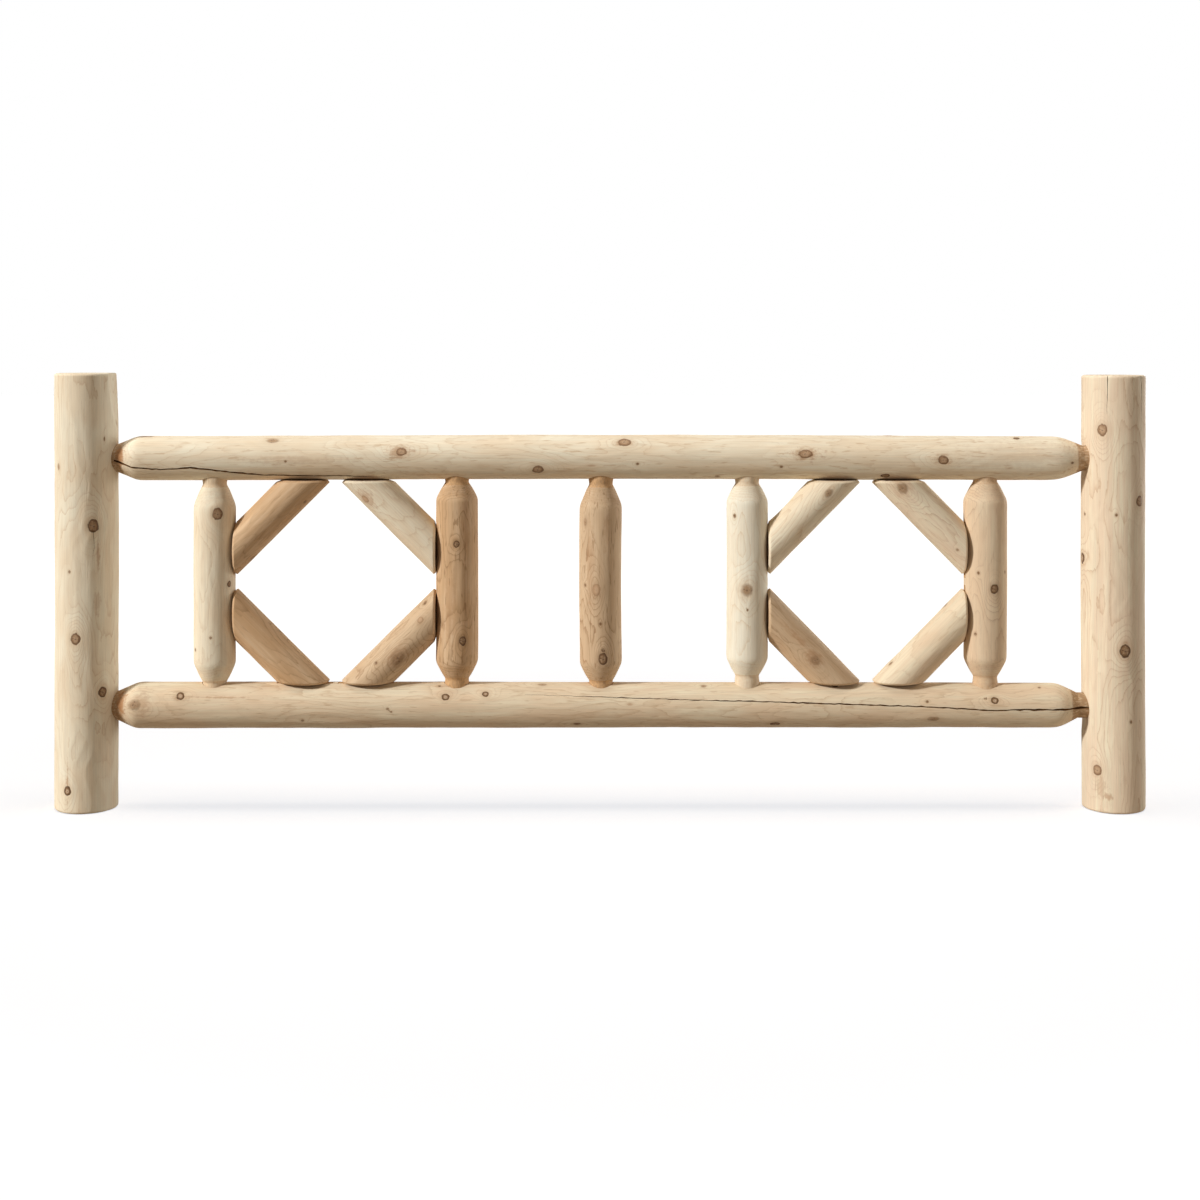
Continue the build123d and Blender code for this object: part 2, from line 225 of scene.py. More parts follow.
# ------------------------------------------------------------------------------- node trees
class Wire:
    """One output in a node tree. Sums and products of wires become Math nodes."""

    def __init__(self, net, socket):
        self.net = net
        self.socket = socket

    def __getitem__(self, name):
        return Wire(self.net, self.socket.node.outputs[name])

    def __add__(self, other):
        return self.net.math("ADD", self, other)

    def __radd__(self, other):
        return self.net.math("ADD", other, self)

    def __sub__(self, other):
        return self.net.math("SUBTRACT", self, other)

    def __rsub__(self, other):
        return self.net.math("SUBTRACT", other, self)

    def __mul__(self, other):
        return self.net.math("MULTIPLY", self, other)

    def __rmul__(self, other):
        return self.net.math("MULTIPLY", other, self)

    def __truediv__(self, other):
        return self.net.math("DIVIDE", self, other)

    def __rtruediv__(self, other):
        return self.net.math("DIVIDE", other, self)


class Net:
    """Adds nodes to a tree. An input takes a number, a vector, a colour or a wire."""

    def __init__(self, tree):
        self.tree = tree

    def add(self, kind, inputs=None, output=0, **values):
        """Adds a node and returns the wire of one of its outputs, if it has any."""
        node = self.tree.nodes.new(kind)
        for name, value in values.items():
            setattr(node, name, value)
        for key, value in (inputs or {}).items():
            self.feed(node.inputs[key], value)
        return Wire(self, node.outputs[output]) if len(node.outputs) else node

    def feed(self, socket, value):
        """Links a wire to an input, or sets the input's own value."""
        if isinstance(value, Wire):
            self.tree.links.new(value.socket, socket)
        elif socket.type == "RGBA" and len(value) == 3:
            socket.default_value = (*value, 1.0)
        else:
            socket.default_value = value

    def math(self, operation, *values):
        """Adds a Math node."""
        return self.add("ShaderNodeMath", dict(enumerate(values)), operation=operation)

    def vector(self, x, y, z):
        """Joins three wires or numbers into a vector."""
        return self.add("ShaderNodeCombineXYZ", {"X": x, "Y": y, "Z": z})

    def split(self, vector):
        """The three wires of a vector."""
        parts = self.add("ShaderNodeSeparateXYZ", {"Vector": vector})
        return parts["X"], parts["Y"], parts["Z"]

    def rise(self, value, low, high):
        """Climbs smoothly from 0 at low to 1 at high."""
        return self.add("ShaderNodeMapRange", {"Value": value, "From Min": low, "From Max": high},
                        interpolation_type="SMOOTHSTEP")

    def noise(self, at, stretch, detail=1.0, roughness=0.5):
        """Noise about 0.5; stretch is how many of its features fit in a metre, on each axis."""
        place = self.add("ShaderNodeVectorMath", {0: at, 1: stretch}, operation="MULTIPLY")
        return self.add("ShaderNodeTexNoise", {"Vector": place, "Scale": 1.0, "Detail": detail,
                                               "Roughness": roughness})

    def tint(self, base, other, share, blend="MIX"):
        """Lays another colour over a base, through the Mix node's colour sockets."""
        return self.add("ShaderNodeMix", {0: share, 6: base, 7: other}, output=2,
                        data_type="RGBA", blend_type=blend)

    def attribute(self, name):
        """The vector that a log's mesh carries under this name."""
        return self.add("ShaderNodeAttribute", output=1, attribute_name=name)

    def group(self, tree, inputs):
        """Places a node group."""
        return self.add("ShaderNodeGroup", inputs, node_tree=tree)

    def finish(self, outputs):
        """Ends a node group."""
        self.add("NodeGroupOutput", outputs)


def new_group(kind, name, inputs, outputs):
    """A node group with named sockets. Returns its net and the wire of its inputs."""
    tree = bpy.data.node_groups.new(name, kind)
    for way, sockets in (("INPUT", inputs), ("OUTPUT", outputs)):
        for socket_name, socket_type in sockets.items():
            tree.interface.new_socket(socket_name, in_out=way, socket_type=f"NodeSocket{socket_type}")
    net = Net(tree)
    return net, net.add("NodeGroupInput")


# ------------------------------------------------------------------------------- one log
GROWTH = {                           # how each log has grown, in the terms that Log explains
    "left_post": {"taper": 0.004, "bow": 0.0010, "bow_turn": 0.4},
    "right_post": {"taper": -0.004, "bow": 0.0015, "bow_turn": 3.0},
    "top_rail": {"taper": 0.010, "bow": 0.0022, "bow_turn": math.pi},
    "bottom_rail": {"taper": 0.040, "bow": 0.0008, "bow_turn": math.pi},
    "spindle_1": {"bow": 0.0006, "bow_turn": math.pi},
    "spindle_2": {"bow": 0.0008},
    "spindle_3": {"bow": 0.0016, "bow_turn": math.pi},
    "spindle_4": {"bow": 0.0006},
    "spindle_5": {"taper": -0.040, "bow": 0.0006},
}


class Log:
    """One log: its axis from low to high, its diameter and the way its ends are cut.

    It is shaped with its axis along Z, its back along Y and its side along X.
    """

    tenon = 0.0                      # a log without tenons has its shoulders far off both ends
    low_neck = high_neck = -10.0     # from each end to where the shoulder starts
    low_shoulder = high_shoulder = 1.0
    low_slope = high_slope = 0.0     # of a mitred end, along the axis for each metre of side
    tip_side = 0.0                   # the side that the sharp tips of a mitred log are on
    ease = blunt = crispness = 0.0
    low_softness = high_softness = 0.005     # rounding where a shoulder meets the log
    waist = 0.0                      # depth of the wear round a neck
    taper = 0.0                      # share of the radius that the high end loses
    bow = 0.0                        # metres out of line at the middle
    bow_turn = 0.0                   # the way it bows, from its side towards its back

    def __init__(self, name, low, high, diameter, **cut):
        self.name = name
        self.low = Vector(low)
        self.length = (Vector(high) - self.low).length
        self.radius = diameter / 2
        along = (Vector(high) - self.low).normalized()
        self.place = Matrix((BACK.cross(along), BACK, along)).transposed().to_4x4()
        self.place.translation = self.low
        self.chance = random.Random(f"{settings('surface').seed} {name}")
        self.luck = [self.chance.uniform(-40, 40) for _ in range(3)]
        for key, value in {**GROWTH.get(name, {}), **cut}.items():
            setattr(self, key, value)

    def reach(self, height):
        """Radius at a height above the low end, without ripples."""
        rise = self.radius - self.tenon / 2
        low = self.tenon / 2 + max(height - self.low_neck, 0) * rise / self.low_shoulder
        high = (self.tenon / 2
                + max(self.length - height - self.high_neck, 0) * rise / self.high_shoulder)
        return min(self.radius, low, high)

    def spot(self, across, up):
        """Height and angle of a spot given in mm as it is seen in the plane of the logs."""
        studio = settings("studio")
        to_log = self.place.inverted()
        eye = to_log @ Vector((0, -studio.eye_distance, studio.eye_height))
        ray = to_log @ Vector((across * MM, 0, up * MM)) - eye
        a = ray.x**2 + ray.y**2
        b = eye.x * ray.x + eye.y * ray.y
        c = eye.x**2 + eye.y**2 - self.radius**2
        hit = eye + ray * ((-b - math.sqrt(max(b * b - a * c, 0))) / a)
        return hit.z, math.atan2(hit.y, hit.x)

    def point(self, height, angle, radius=None):
        """A point on the log, in the frame of the whole bed."""
        radius = self.reach(height) if radius is None else radius
        return self.place @ Vector((radius * math.cos(angle), radius * math.sin(angle), height))

    def outward(self, angle):
        """The way a spot on the log faces, in the frame of the whole bed."""
        return self.place.to_3x3() @ Vector((math.cos(angle), math.sin(angle), 0))


LOG_INPUTS = {
    "Sides": "Int", "Rings": "Int", "Length": "Float", "Radius": "Float", "Taper": "Float",
    "Bow": "Float", "Bow Turn": "Float", "Low Slope": "Float", "High Slope": "Float",
    "Tip Side": "Float", "Ease": "Float", "Blunt": "Float", "Tenon Radius": "Float",
    "Low Neck": "Float", "Low Shoulder": "Float", "High Neck": "Float", "High Shoulder": "Float",
    "Low Softness": "Float", "High Softness": "Float", "Crispness": "Float", "Waist": "Float",
    "Ripple": "Float", "Facet": "Float", "Strokes": "Int", "Luck": "Vector", "Wood": "Material",
}


def peeled_log_tree():
    """Geometry nodes that turn a cylinder into a peeled log with its ends cut."""
    net, given = new_group("GeometryNodeTree", "Peeled Log", LOG_INPUTS,
                           {"Geometry": "Geometry"})
    crowding = 0.62          # rings of faces gather towards the two ends
    knife_marks = 1.2 * MM   # the deepest of them, on a shoulder
    waist_spread = 7 * MM    # from the middle of a neck's waist to where it is half as deep
    blank = net.add("GeometryNodeMeshCylinder", {
        "Vertices": given["Sides"], "Side Segments": given["Rings"], "Fill Segments": 12,
        "Radius": 1.0, "Depth": 1.0}, fill_type="NGON")
    x, y, z = net.split(net.add("GeometryNodeInputPosition"))
    rim = net.math("SQRT", x * x + y * y)
    side_share = x / rim
    back_share = y / rim
    even = z + 0.5
    share = even - net.math("SINE", even * (2 * math.pi)) * (crowding / (2 * math.pi))

    def height_at(side):
        """Height along the axis, with both ends cut to their slopes."""
        low = given["Low Slope"] * side
        high = given["Length"] + given["High Slope"] * side
        return low + (high - low) * share, low, high

    height, low_end, high_end = height_at(side_share * given["Radius"])
    at = net.add("ShaderNodeVectorMath", {
        0: net.vector(side_share * given["Radius"], back_share * given["Radius"], height),
        1: given["Luck"]}, operation="ADD")
    slow = net.noise(at, (11.0, 11.0, 4.0), detail=1.5) - 0.5
    lumps = net.noise(at, (30.0, 30.0, 13.0)) - 0.5
    drift = net.noise(at, (0.0, 0.0, 6.0)) * 2.4
    stroke = 2 * math.pi / given["Strokes"]
    turn = net.math("WRAP", net.math("ARCTAN2", y, x) + drift, stroke, 0.0) - stroke / 2
    flat = net.math("COSINE", stroke / 2) / net.math("COSINE", turn)
    flatness = net.rise(net.noise(at, (16.0, 16.0, 7.0)), 0.42, 0.60) * given["Facet"]

    taper = 1.0 - given["Taper"] * share
    body = given["Radius"] * taper * (1.0 + (flat - 1.0) * flatness)
    body = body + (slow * 1.4 + lumps * 0.5) * given["Ripple"]
    thin = given["Tenon Radius"]

    def cone(distance, neck, shoulder):
        """Radius of a shoulder at a distance from its end of the log."""
        out = net.math("MAXIMUM", distance - neck, 0.0)
        worn = net.math("MINIMUM", out * 0.05, knife_marks) * (lumps * 2.0 + flat - 1.0)
        past = (distance - neck) / waist_spread
        waist = net.math("POWER", 0.5, past * past) * given["Waist"]
        return thin + out * (given["Radius"] - thin) / shoulder + worn - waist

    reach = net.math("SMOOTH_MIN", body, cone(height, given["Low Neck"], given["Low Shoulder"]),
                     given["Low Softness"])
    reach = net.math("SMOOTH_MIN", reach,
                     cone(given["Length"] - height, given["High Neck"], given["High Shoulder"]),
                     given["High Softness"])

    tip = net.math("POWER", net.math("MAXIMUM", side_share * given["Tip Side"], 0.0), 5.0)
    ease = given["Ease"] + given["Blunt"] * tip
    nearest = net.math("MINIMUM", height - low_end, high_end - height)
    left = ease - net.math("MINIMUM", net.math("MAXIMUM", nearest, 0.0), ease)
    drop = ease - net.math("SQRT", ease * ease - left * left)
    drop = drop + (left - drop) * given["Crispness"]
    reach = (reach - drop) * rim

    bend = net.math("SINE", share * math.pi)
    bend = bend * bend * given["Bow"]
    height, _, _ = height_at(side_share * reach)
    place = net.vector(side_share * reach + bend * net.math("COSINE", given["Bow Turn"]),
                       back_share * reach + bend * net.math("SINE", given["Bow Turn"]), height)
    shaped = net.add("GeometryNodeSetPosition", {"Geometry": blank, "Position": place})
    smooth = net.add("GeometryNodeSetShadeSmooth", {"Geometry": shaped})
    whole = net.add("GeometryNodeRealizeInstances", {"Geometry": smooth})
    net.finish({0: net.add("GeometryNodeSetMaterial", {"Geometry": whole,
                                                       "Material": given["Wood"]})})
    return net.tree


def settle(piece):
    """Turns what a piece's modifiers make into its plain mesh, and takes them off."""
    evaluated = piece.evaluated_get(bpy.context.evaluated_depsgraph_get())
    made = bpy.data.meshes.new_from_object(evaluated)
    piece.modifiers.clear()
    old = piece.data
    piece.data = made
    made.name = piece.name
    bpy.data.meshes.remove(old)


def new_piece(name, mesh=None):
    """An object at the origin."""
    piece = bpy.data.objects.new(name, mesh or bpy.data.meshes.new(name))
    bpy.context.scene.collection.objects.link(piece)
    return piece


def peel(log, tree, wood, sides, ring_gap):
    """Runs the geometry nodes for one log and returns its piece, still along Z."""
    surface = settings("surface")
    piece = new_piece(log.name)
    values = {
        "Sides": sides, "Rings": round(log.length / ring_gap), "Tenon Radius": log.tenon / 2,
        "Ripple": surface.ripple, "Facet": surface.facet, "Strokes": surface.strokes,
        "Wood": wood,
    }
    maker = piece.modifiers.new("Peeled Log", "NODES")
    maker.node_group = tree
    for socket in tree.interface.items_tree:
        if socket.in_out == "INPUT":        # every other input is the log's value of that name
            own = socket.name.lower().replace(" ", "_")
            maker[socket.identifier] = values.get(socket.name, getattr(log, own, None))
    settle(piece)
    return piece


# ------------------------------------------------------------------------------- marks
# Places are in mm from the middle of the bed and above the floor, as the front shows them in
# the plane of the logs. A knot's radius is across the grain, and its stretch is along it.
Knot = namedtuple("Knot", "across up radius look stretch", defaults=("dark", 1.2))
Stain = namedtuple("Stain", "across up half_width half_height strength")
Shave = namedtuple("Shave", "across up half_length depth")
Crack = namedtuple("Crack", "points depth")          # points: across, up and width

# A mark as it lies on its log: sizes are in metres, and its value is a knot's look or a stain's
# strength.
Mark = namedtuple("Mark", "height angle wide tall value")

DOT = 4                  # a knot no larger than this has no heart and hardly a rim
LOOKS = {                # darkness, pale heart, lightness
    "dark": (1.0, 0.15, 0.0),
    "eye": (1.0, 1.0, 0.0),
    "brown": (0.85, 0.3, 0.40),
    "ring": (0.72, 0.35, 0.66),
    "heart": (0.55, 1.0, 0.7),
    "red": (0.6, 0.0, 0.45),
    "smoky": (0.60, 0.0, 0.15),
    "faint": (0.15, 0.3, 1.0),
    "soft": (0.75, 0.0, 0.34),
}

KNOTS = {
    "left_post": (
        Knot(-1013, 562, 11), Knot(-1049, 336, 10, "brown"), Knot(-995, 230, 9),
        Knot(-1065, 32, 8, "eye"),
        Knot(-1083, 680, 4, "red", 1.8), Knot(-991, 736, 2, "dark", 2.5), Knot(-1062, 470, 3),
    ),
    "right_post": (
        Knot(1005, 754, 10, "ring"), Knot(1079, 612, 9, "brown"), Knot(971, 586, 3),
        Knot(1033, 584, 3), Knot(967, 498, 9, "eye"), Knot(1051, 312, 11),
        Knot(995, 74, 9, "ring"), Knot(1062, 170, 3),
    ),
    "top_rail": (
        Knot(-655, 732, 7, "red", 2.0), Knot(-397, 710, 8, "ring", 1.3),
        Knot(-124, 674, 9, "brown", 1.3), Knot(49, 728, 9, "ring", 1.5),
        Knot(411, 706, 9, "ring", 1.5), Knot(575, 742, 6, "faint", 1.6),
        Knot(687, 694, 9, "brown"), Knot(571, 662, 6, "dark", 1.6), Knot(-629, 691, 2.5),
        Knot(75, 686, 3), Knot(363, 680, 3), Knot(947, 686, 3), Knot(235, 660, 5, "red"),
        Knot(833, 738, 5),
        Knot(-17, 682, 2.5, "faint", 4.0), Knot(-907, 741, 4, "dark", 4.0),
    ),
    "bottom_rail": (
        Knot(-839, 222, 8, "eye", 1.0), Knot(-933, 204, 12, "smoky", 1.2),
        Knot(-309, 220, 7, "eye", 1.1), Knot(-229, 226, 6, "eye", 1.1),
        Knot(-425, 196, 2.5), Knot(-418, 190, 2), Knot(-595, 172, 3), Knot(-321, 242, 3),
        Knot(-115, 245, 5, "red", 2.0), Knot(-46, 165, 4, "dark", 2.0),
        Knot(207, 242, 5, "red"), Knot(469, 244, 6), Knot(655, 211, 3),
        Knot(790, 213, 7, "eye", 1.1), Knot(770, 217, 2), Knot(667, 175, 6, "smoky", 2.2),
        Knot(350, 165, 5, "dark", 2.0), Knot(879, 240, 2.5), Knot(60, 205, 3, "faint", 2.0),
    ),
    "spindle_1": (Knot(-765, 586, 10, "brown"), Knot(-741, 446, 5), Knot(-779, 338, 3),
                  Knot(-809, 314, 3)),
    "spindle_2": (Knot(-287, 526, 6), Knot(-275, 332, 7, "dark", 1.3)),
    "spindle_3": (Knot(-29, 570, 4, "ring", 2.2), Knot(-29, 444, 3), Knot(1, 366, 3),
                  Knot(6, 296, 9, "dark", 1.3), Knot(6, 315, 2.5), Knot(-7, 434, 8, "faint", 1.6)),
    "spindle_4": (Knot(294, 434, 12, "soft", 1.15), Knot(295, 394, 2.5), Knot(269, 582, 4)),
    "spindle_5": (Knot(789, 436, 8), Knot(757, 468, 3), Knot(809, 470, 3, "red"),
                  Knot(751, 346, 3)),
    "brace_left_upper_left": (Knot(-695, 498, 6, "smoky"), Knot(-590, 610, 3)),
    "brace_left_upper_right": (Knot(-469, 616, 6, "faint", 1.5),),
    "brace_left_lower_left": (Knot(-640, 352, 3),),
    "brace_left_lower_right": (Knot(-350, 408, 4), Knot(-359, 374, 6, "faint"), Knot(-448, 288, 3),
                               Knot(-405, 297, 12, "smoky", 1.4)),
    "brace_right_upper_left": (Knot(457, 628, 7, "smoky", 1.6),),
    "brace_right_upper_right": (Knot(605, 638, 11, "smoky"), Knot(715, 514, 3, "red")),
    "brace_right_lower_left": (Knot(431, 293, 9, "smoky", 1.2),),
    "brace_right_lower_right": (Knot(690, 403, 4, "dark", 1.8), Knot(581, 287, 4, "dark", 1.4)),
}

STAINS = {
    "left_post": (Stain(-1006, 410, 7, 24, 0.28), Stain(-1003, 500, 4, 32, 0.45),
                  Stain(-965, 767, 5, 9, 0.5), Stain(-1065, 48, 2, 42, 0.55)),
    "right_post": (Stain(1017, 20, 12, 9, 0.5), Stain(1003, 40, 14, 20, 0.30)),
    "top_rail": (Stain(-610, 694, 110, 10, 0.22), Stain(-400, 710, 22, 13, 0.55),
                 Stain(414, 706, 34, 15, 0.62), Stain(47, 728, 22, 11, 0.55),
                 # the strong stain at the left end, where the rail enters the left post, is partly the brown of
                 # the neck and partly painted shade
                 Stain(687, 694, 20, 13, 0.46), Stain(-964, 700, 9, 36, 0.8),
                 Stain(-330, 664, 70, 5, 0.25), Stain(840, 706, 150, 30, 0.13)),
    "bottom_rail": (Stain(-914, 204, 20, 30, 0.34), Stain(-962, 204, 13, 40, 0.75),
                    Stain(-840, 222, 22, 14, 0.35), Stain(-765, 219, 70, 3, 0.45),
                    Stain(790, 213, 24, 4, 0.3)),
    "spindle_4": (Stain(294, 434, 20, 22, 0.20),),
    "spindle_2": (Stain(-268, 560, 10, 60, 0.25), Stain(-300, 400, 12, 80, 0.22)),
    "spindle_3": (Stain(-18, 480, 10, 90, 0.22), Stain(15, 560, 8, 50, 0.22)),
    "brace_left_upper_right": (Stain(-469, 616, 16, 22, 0.4),),
    "brace_right_upper_right": (Stain(603, 640, 22, 26, 0.25),),
    "brace_right_lower_left": (Stain(398, 335, 9, 50, 0.35), Stain(425, 300, 18, 24, 0.4)),
    "brace_left_lower_right": (Stain(-402, 302, 16, 34, 0.28),),
}

SHAVES = {
    "left_post": (Shave(-965, 950, 198, 13.0), Shave(-1080, 60, 120, 1.2)),
    "right_post": (Shave(1083, 864, 60, 1.2), Shave(1000, 420, 150, 1.0)),
    "top_rail": (Shave(-340, 735, 160, 1.2), Shave(700, 665, 130, 1.3)),
    "bottom_rail": (Shave(-600, 176, 180, 1.4), Shave(330, 240, 150, 1.0)),
    "brace_left_upper_left": (Shave(-722, 566, 42, 3.0),),
    "brace_right_lower_left": (Shave(358, 322, 46, 3.0),),
    "brace_right_upper_left": (Shave(360, 600, 44, 2.4),),
}

CRACKS = {
    "top_rail": (
        Crack(((-977, 690, 3.9), (-939, 678, 3.6), (-879, 675, 3.5), (-819, 678, 3.4),
               (-759, 672, 3.5), (-679, 664, 3.7), (-599, 662, 3.9), (-519, 662, 3.4),
               (-399, 658, 0.8)), 7.0),
    ),
    "bottom_rail": (
        Crack(((-150, 225, 0.6), (70, 218, 1.7), (241, 213, 2.5), (451, 207, 3.1),
               (661, 200, 3.5), (785, 192, 3.9), (841, 194, 4.1), (941, 194, 4.3),
               (985, 194, 4.4)), 7.0),
    ),
    "left_post": (Crack(((-1013, 550, 1.1), (-1012, 520, 0.8), (-1014, 492, 0.3)), 3.0),),
    "right_post": (
        Crack(((1016, 870, 1.2), (1015, 830, 0.9), (1014, 786, 0.3)), 3.5),
        Crack(((1083, 872, 1.6), (1084, 810, 1.2), (1083, 752, 0.5)), 8.0),
    ),
}


class Marks:
    """Where the knots, stains and shaved flats of one log lie, as heights and angles."""

    def __init__(self, log):
        self.knots = []
        for knot in KNOTS.get(log.name, ()):
            height, angle = log.spot(knot.across, knot.up)
            dark, heart, light = LOOKS[knot.look]
            if knot.radius <= DOT:
                heart = 0.0
            radius = knot.radius * MM
            self.knots.append(Mark(height, angle, radius, radius * knot.stretch,
                                   (dark, heart, light)))
        self.knots += self.knots_behind(log)
        self.stains = []
        for stain in STAINS.get(log.name, ()):
            height, angle = log.spot(stain.across, stain.up)
            wide, tall = stain.half_width * MM, stain.half_height * MM
            if log.name in RAILS:
                wide, tall = tall, wide
            self.stains.append(Mark(height, angle, wide, tall, stain.strength))
        self.shaves = []
        for shave in SHAVES.get(log.name, ()):
            height, angle = log.spot(shave.across, shave.up)
            self.shaves.append((height, angle, shave.half_length * MM, shave.depth * MM))

    @staticmethod
    def knots_behind(log):
        """Knots on the side that faces the mattress."""
        spacing, astray = 0.21, 0.06
        usual_log = 0.05                      # the radius of a log that has knots of these radii
        radii = (2.5, 3.5, 5.0, 7.0, 9.0)
        largest = 0.011
        found = []
        start = log.chance.uniform(0.3, 0.8) * spacing
        for step in range(round(log.length / spacing)):
            height = start + step * spacing + log.chance.uniform(-astray, astray)
            angle = math.pi * log.chance.uniform(0.10, 0.90)
            radius = min(log.chance.choice(radii) * log.radius / usual_log * MM, largest)
            look = LOOKS[log.chance.choice(tuple(LOOKS))]
            tall = radius * log.chance.uniform(1.0, 1.6)
            found.append(Mark(height, angle, radius, tall, look))
        return found


def turn_between(angles, angle):
    """Angle from one direction to others, between minus and plus half a turn."""
    return (angles - angle + math.pi) % (2 * math.pi) - math.pi


def read_points(mesh):
    """The places of a mesh's points, one in each row."""
    points = np.empty(len(mesh.vertices) * 3)
    mesh.vertices.foreach_get("co", points)
    return points.reshape(-1, 3)


def from_mark(log, points, angles, mark):
    """How far points lie from a mark across the grain, along it and in all, in its own sizes."""
    across = log.radius * turn_between(angles, mark.angle) / mark.wide
    along = (points[:, 2] - mark.height) / mark.tall
    return across, along, np.hypot(across, along)


def carve_relief(piece, log, marks):
    """Raises the wood over its knots and flattens it where the drawknife went deep."""
    full_swell = 9 * MM              # a smaller knot swells less
    pit, groove = 1.1 * MM, 0.6 * MM      # depth of a dot, and of the ring round a knot
    edge_on = 0.3                    # a flat ends where the log turns its side to it
    points = read_points(piece.data)
    radii = np.hypot(points[:, 0], points[:, 1])
    angles = np.arctan2(points[:, 1], points[:, 0])
    new = radii.copy()
    outer = np.clip((radii / log.radius - 0.72) / 0.2, 0, 1)       # leaves caps and tenons alone
    for knot in marks.knots:
        across, along, away = from_mark(log, points, angles, knot)
        swell = settings("surface").swell * min(knot.wide / full_swell, 1)
        new += outer * swell * np.exp(-(np.hypot(across, along * 0.7) / 1.9) ** 2)
        if knot.wide < DOT * MM:
            new -= outer * pit * np.exp(-((away / 0.9) ** 2))
        else:
            darkness = knot.value[0]
            new -= outer * groove * darkness * np.exp(-(((away - 1.0) / 0.22) ** 2))
    for height, angle, half_length, depth in marks.shaves:
        reach = np.clip(1 - ((points[:, 2] - height) / half_length) ** 2, 0, 1)
        plane = log.radius - depth * reach
        facing = np.cos(turn_between(angles, angle))
        limit = np.where((facing > edge_on) & (reach > 0), plane / np.maximum(facing, edge_on), 1.0)
        new = np.where(outer > 0, np.minimum(new, limit), new)
    points[:, :2] *= (new / np.maximum(radii, 1e-6))[:, None]
    piece.data.vertices.foreach_set("co", points.ravel())
    piece.data.update()


def write_marks(piece, log, marks):
    """Tells the wood's material where each knot and stain lies, in attributes of the mesh."""
    mesh = piece.data
    points = read_points(mesh)
    turned = np.array(log.place.inverted().to_3x3())
    points = (points - np.array(log.low)) @ turned.T
    angles = np.arctan2(points[:, 1], points[:, 0])
    total = len(points)
    far = 9.0                                 # further off than any mark shows
    nearest = np.full((total, 3), far)        # across, along and away, in radii of the knot
    look = np.zeros((total, 3))
    wood = np.zeros((total, 3))               # spread of the grain, stain and its strength
    wood[:, 1] = far
    for knot in marks.knots:
        across, along, away = from_mark(log, points, angles, knot)
        near = away < nearest[:, 2]
        nearest[near] = np.stack((across, along, away), 1)[near]
        look[near] = knot.value
        wood[:, 0] += 1.15 * knot.wide * np.exp(-((across / 2.2) ** 2) - (along / 3.4) ** 2)
    for stain in marks.stains:
        _, _, away = from_mark(log, points, angles, stain)
        near = away < wood[:, 1]
        wood[near, 1] = away[near]
        wood[near, 2] = stain.value
    for name, values in (("knot", nearest), ("knot_look", look), ("wood", wood)):
        layer = mesh.attributes.new(name, "FLOAT_VECTOR", "POINT")
        layer.data.foreach_set("vector", values.astype(np.float32).ravel())


# ------------------------------------------------------------------------------- cutters
class Cutter:
    """A shape to take out of the logs, gathered from closed solids that stay apart."""

    def __init__(self, name, finish=BORED):
        self.name = name
        self.finish = finish          # slot of the material that its cut leaves
        self.mesh = bmesh.new()

    def turn(self, start, along, profile, sides=56):
        """Turns a profile of (distance, radius) about the line from start."""
        place = along.to_track_quat("Z", "Y").to_matrix().to_4x4()
        place.translation = start
        rings = [
            [
                self.mesh.verts.new(place @ Vector((
                    radius * math.cos(2 * math.pi * k / sides),
                    radius * math.sin(2 * math.pi * k / sides), distance)))
                for k in range(sides)
            ]
            for distance, radius in profile
        ]
        for near, far in zip(rings, rings[1:]):
            for k in range(sides):
                following = (k + 1) % sides
                self.mesh.faces.new((near[k], near[following], far[following], far[k]))
        self.mesh.faces.new(reversed(rings[0]))
        self.mesh.faces.new(rings[-1])

    def block(self, low, high):
        """Adds a box between two corners."""
        low, high = Vector(low), Vector(high)
        place = Matrix.Translation((low + high) / 2) @ Matrix.Diagonal((*(high - low), 1))
        bmesh.ops.create_cube(self.mesh, size=1, matrix=place)

    def wedge(self, path):
        """Adds a blade that opens a check along (point, outward, width, depth)."""
        over = 2.5 * MM          # the blade stands this far out of the wood
        rows = []
        for index, (point, outward, width, depth) in enumerate(path):
            ahead = path[min(index + 1, len(path) - 1)][0] - path[max(index - 1, 0)][0]
            half = outward.cross(ahead).normalized() * (width / 2 * (depth + over) / depth)
            top = point + outward * over
            rows.append([self.mesh.verts.new(corner)
                         for corner in (top - half, top + half, point - outward * depth)])
        for near, far in zip(rows, rows[1:]):
            for k in range(3):
                self.mesh.faces.new((near[k], near[k - 2], far[k - 2], far[k]))
        self.mesh.faces.new(reversed(rows[0]))
        self.mesh.faces.new(rows[-1])

    def ready(self, finishes):
        """Makes the object that the boolean modifiers use."""
        bmesh.ops.recalc_face_normals(self.mesh, faces=self.mesh.faces)
        for face in self.mesh.faces:
            face.material_index = self.finish
        mesh = bpy.data.meshes.new(self.name)
        self.mesh.to_mesh(mesh)
        self.mesh.free()
        for finish in finishes:
            mesh.materials.append(finish)
        return new_piece(self.name, mesh)


def carve(piece, cutters):
    """Takes cutters out of a piece, one after another."""
    for cutter in cutters:
        cut = piece.modifiers.new(cutter.name, "BOOLEAN")
        cut.operation = "DIFFERENCE"
        cut.solver = "MANIFOLD"
        cut.material_mode = "INDEX"
        cut.object = cutter
    settle(piece)
    if not piece.data.polygons:
        raise RuntimeError(f"nothing is left of {piece.name} after its cuts")


def scrap(*pieces):
    """Throws away objects that have done their work."""
    for piece in pieces:
        mesh = piece.data
        bpy.data.objects.remove(piece)
        bpy.data.meshes.remove(mesh)


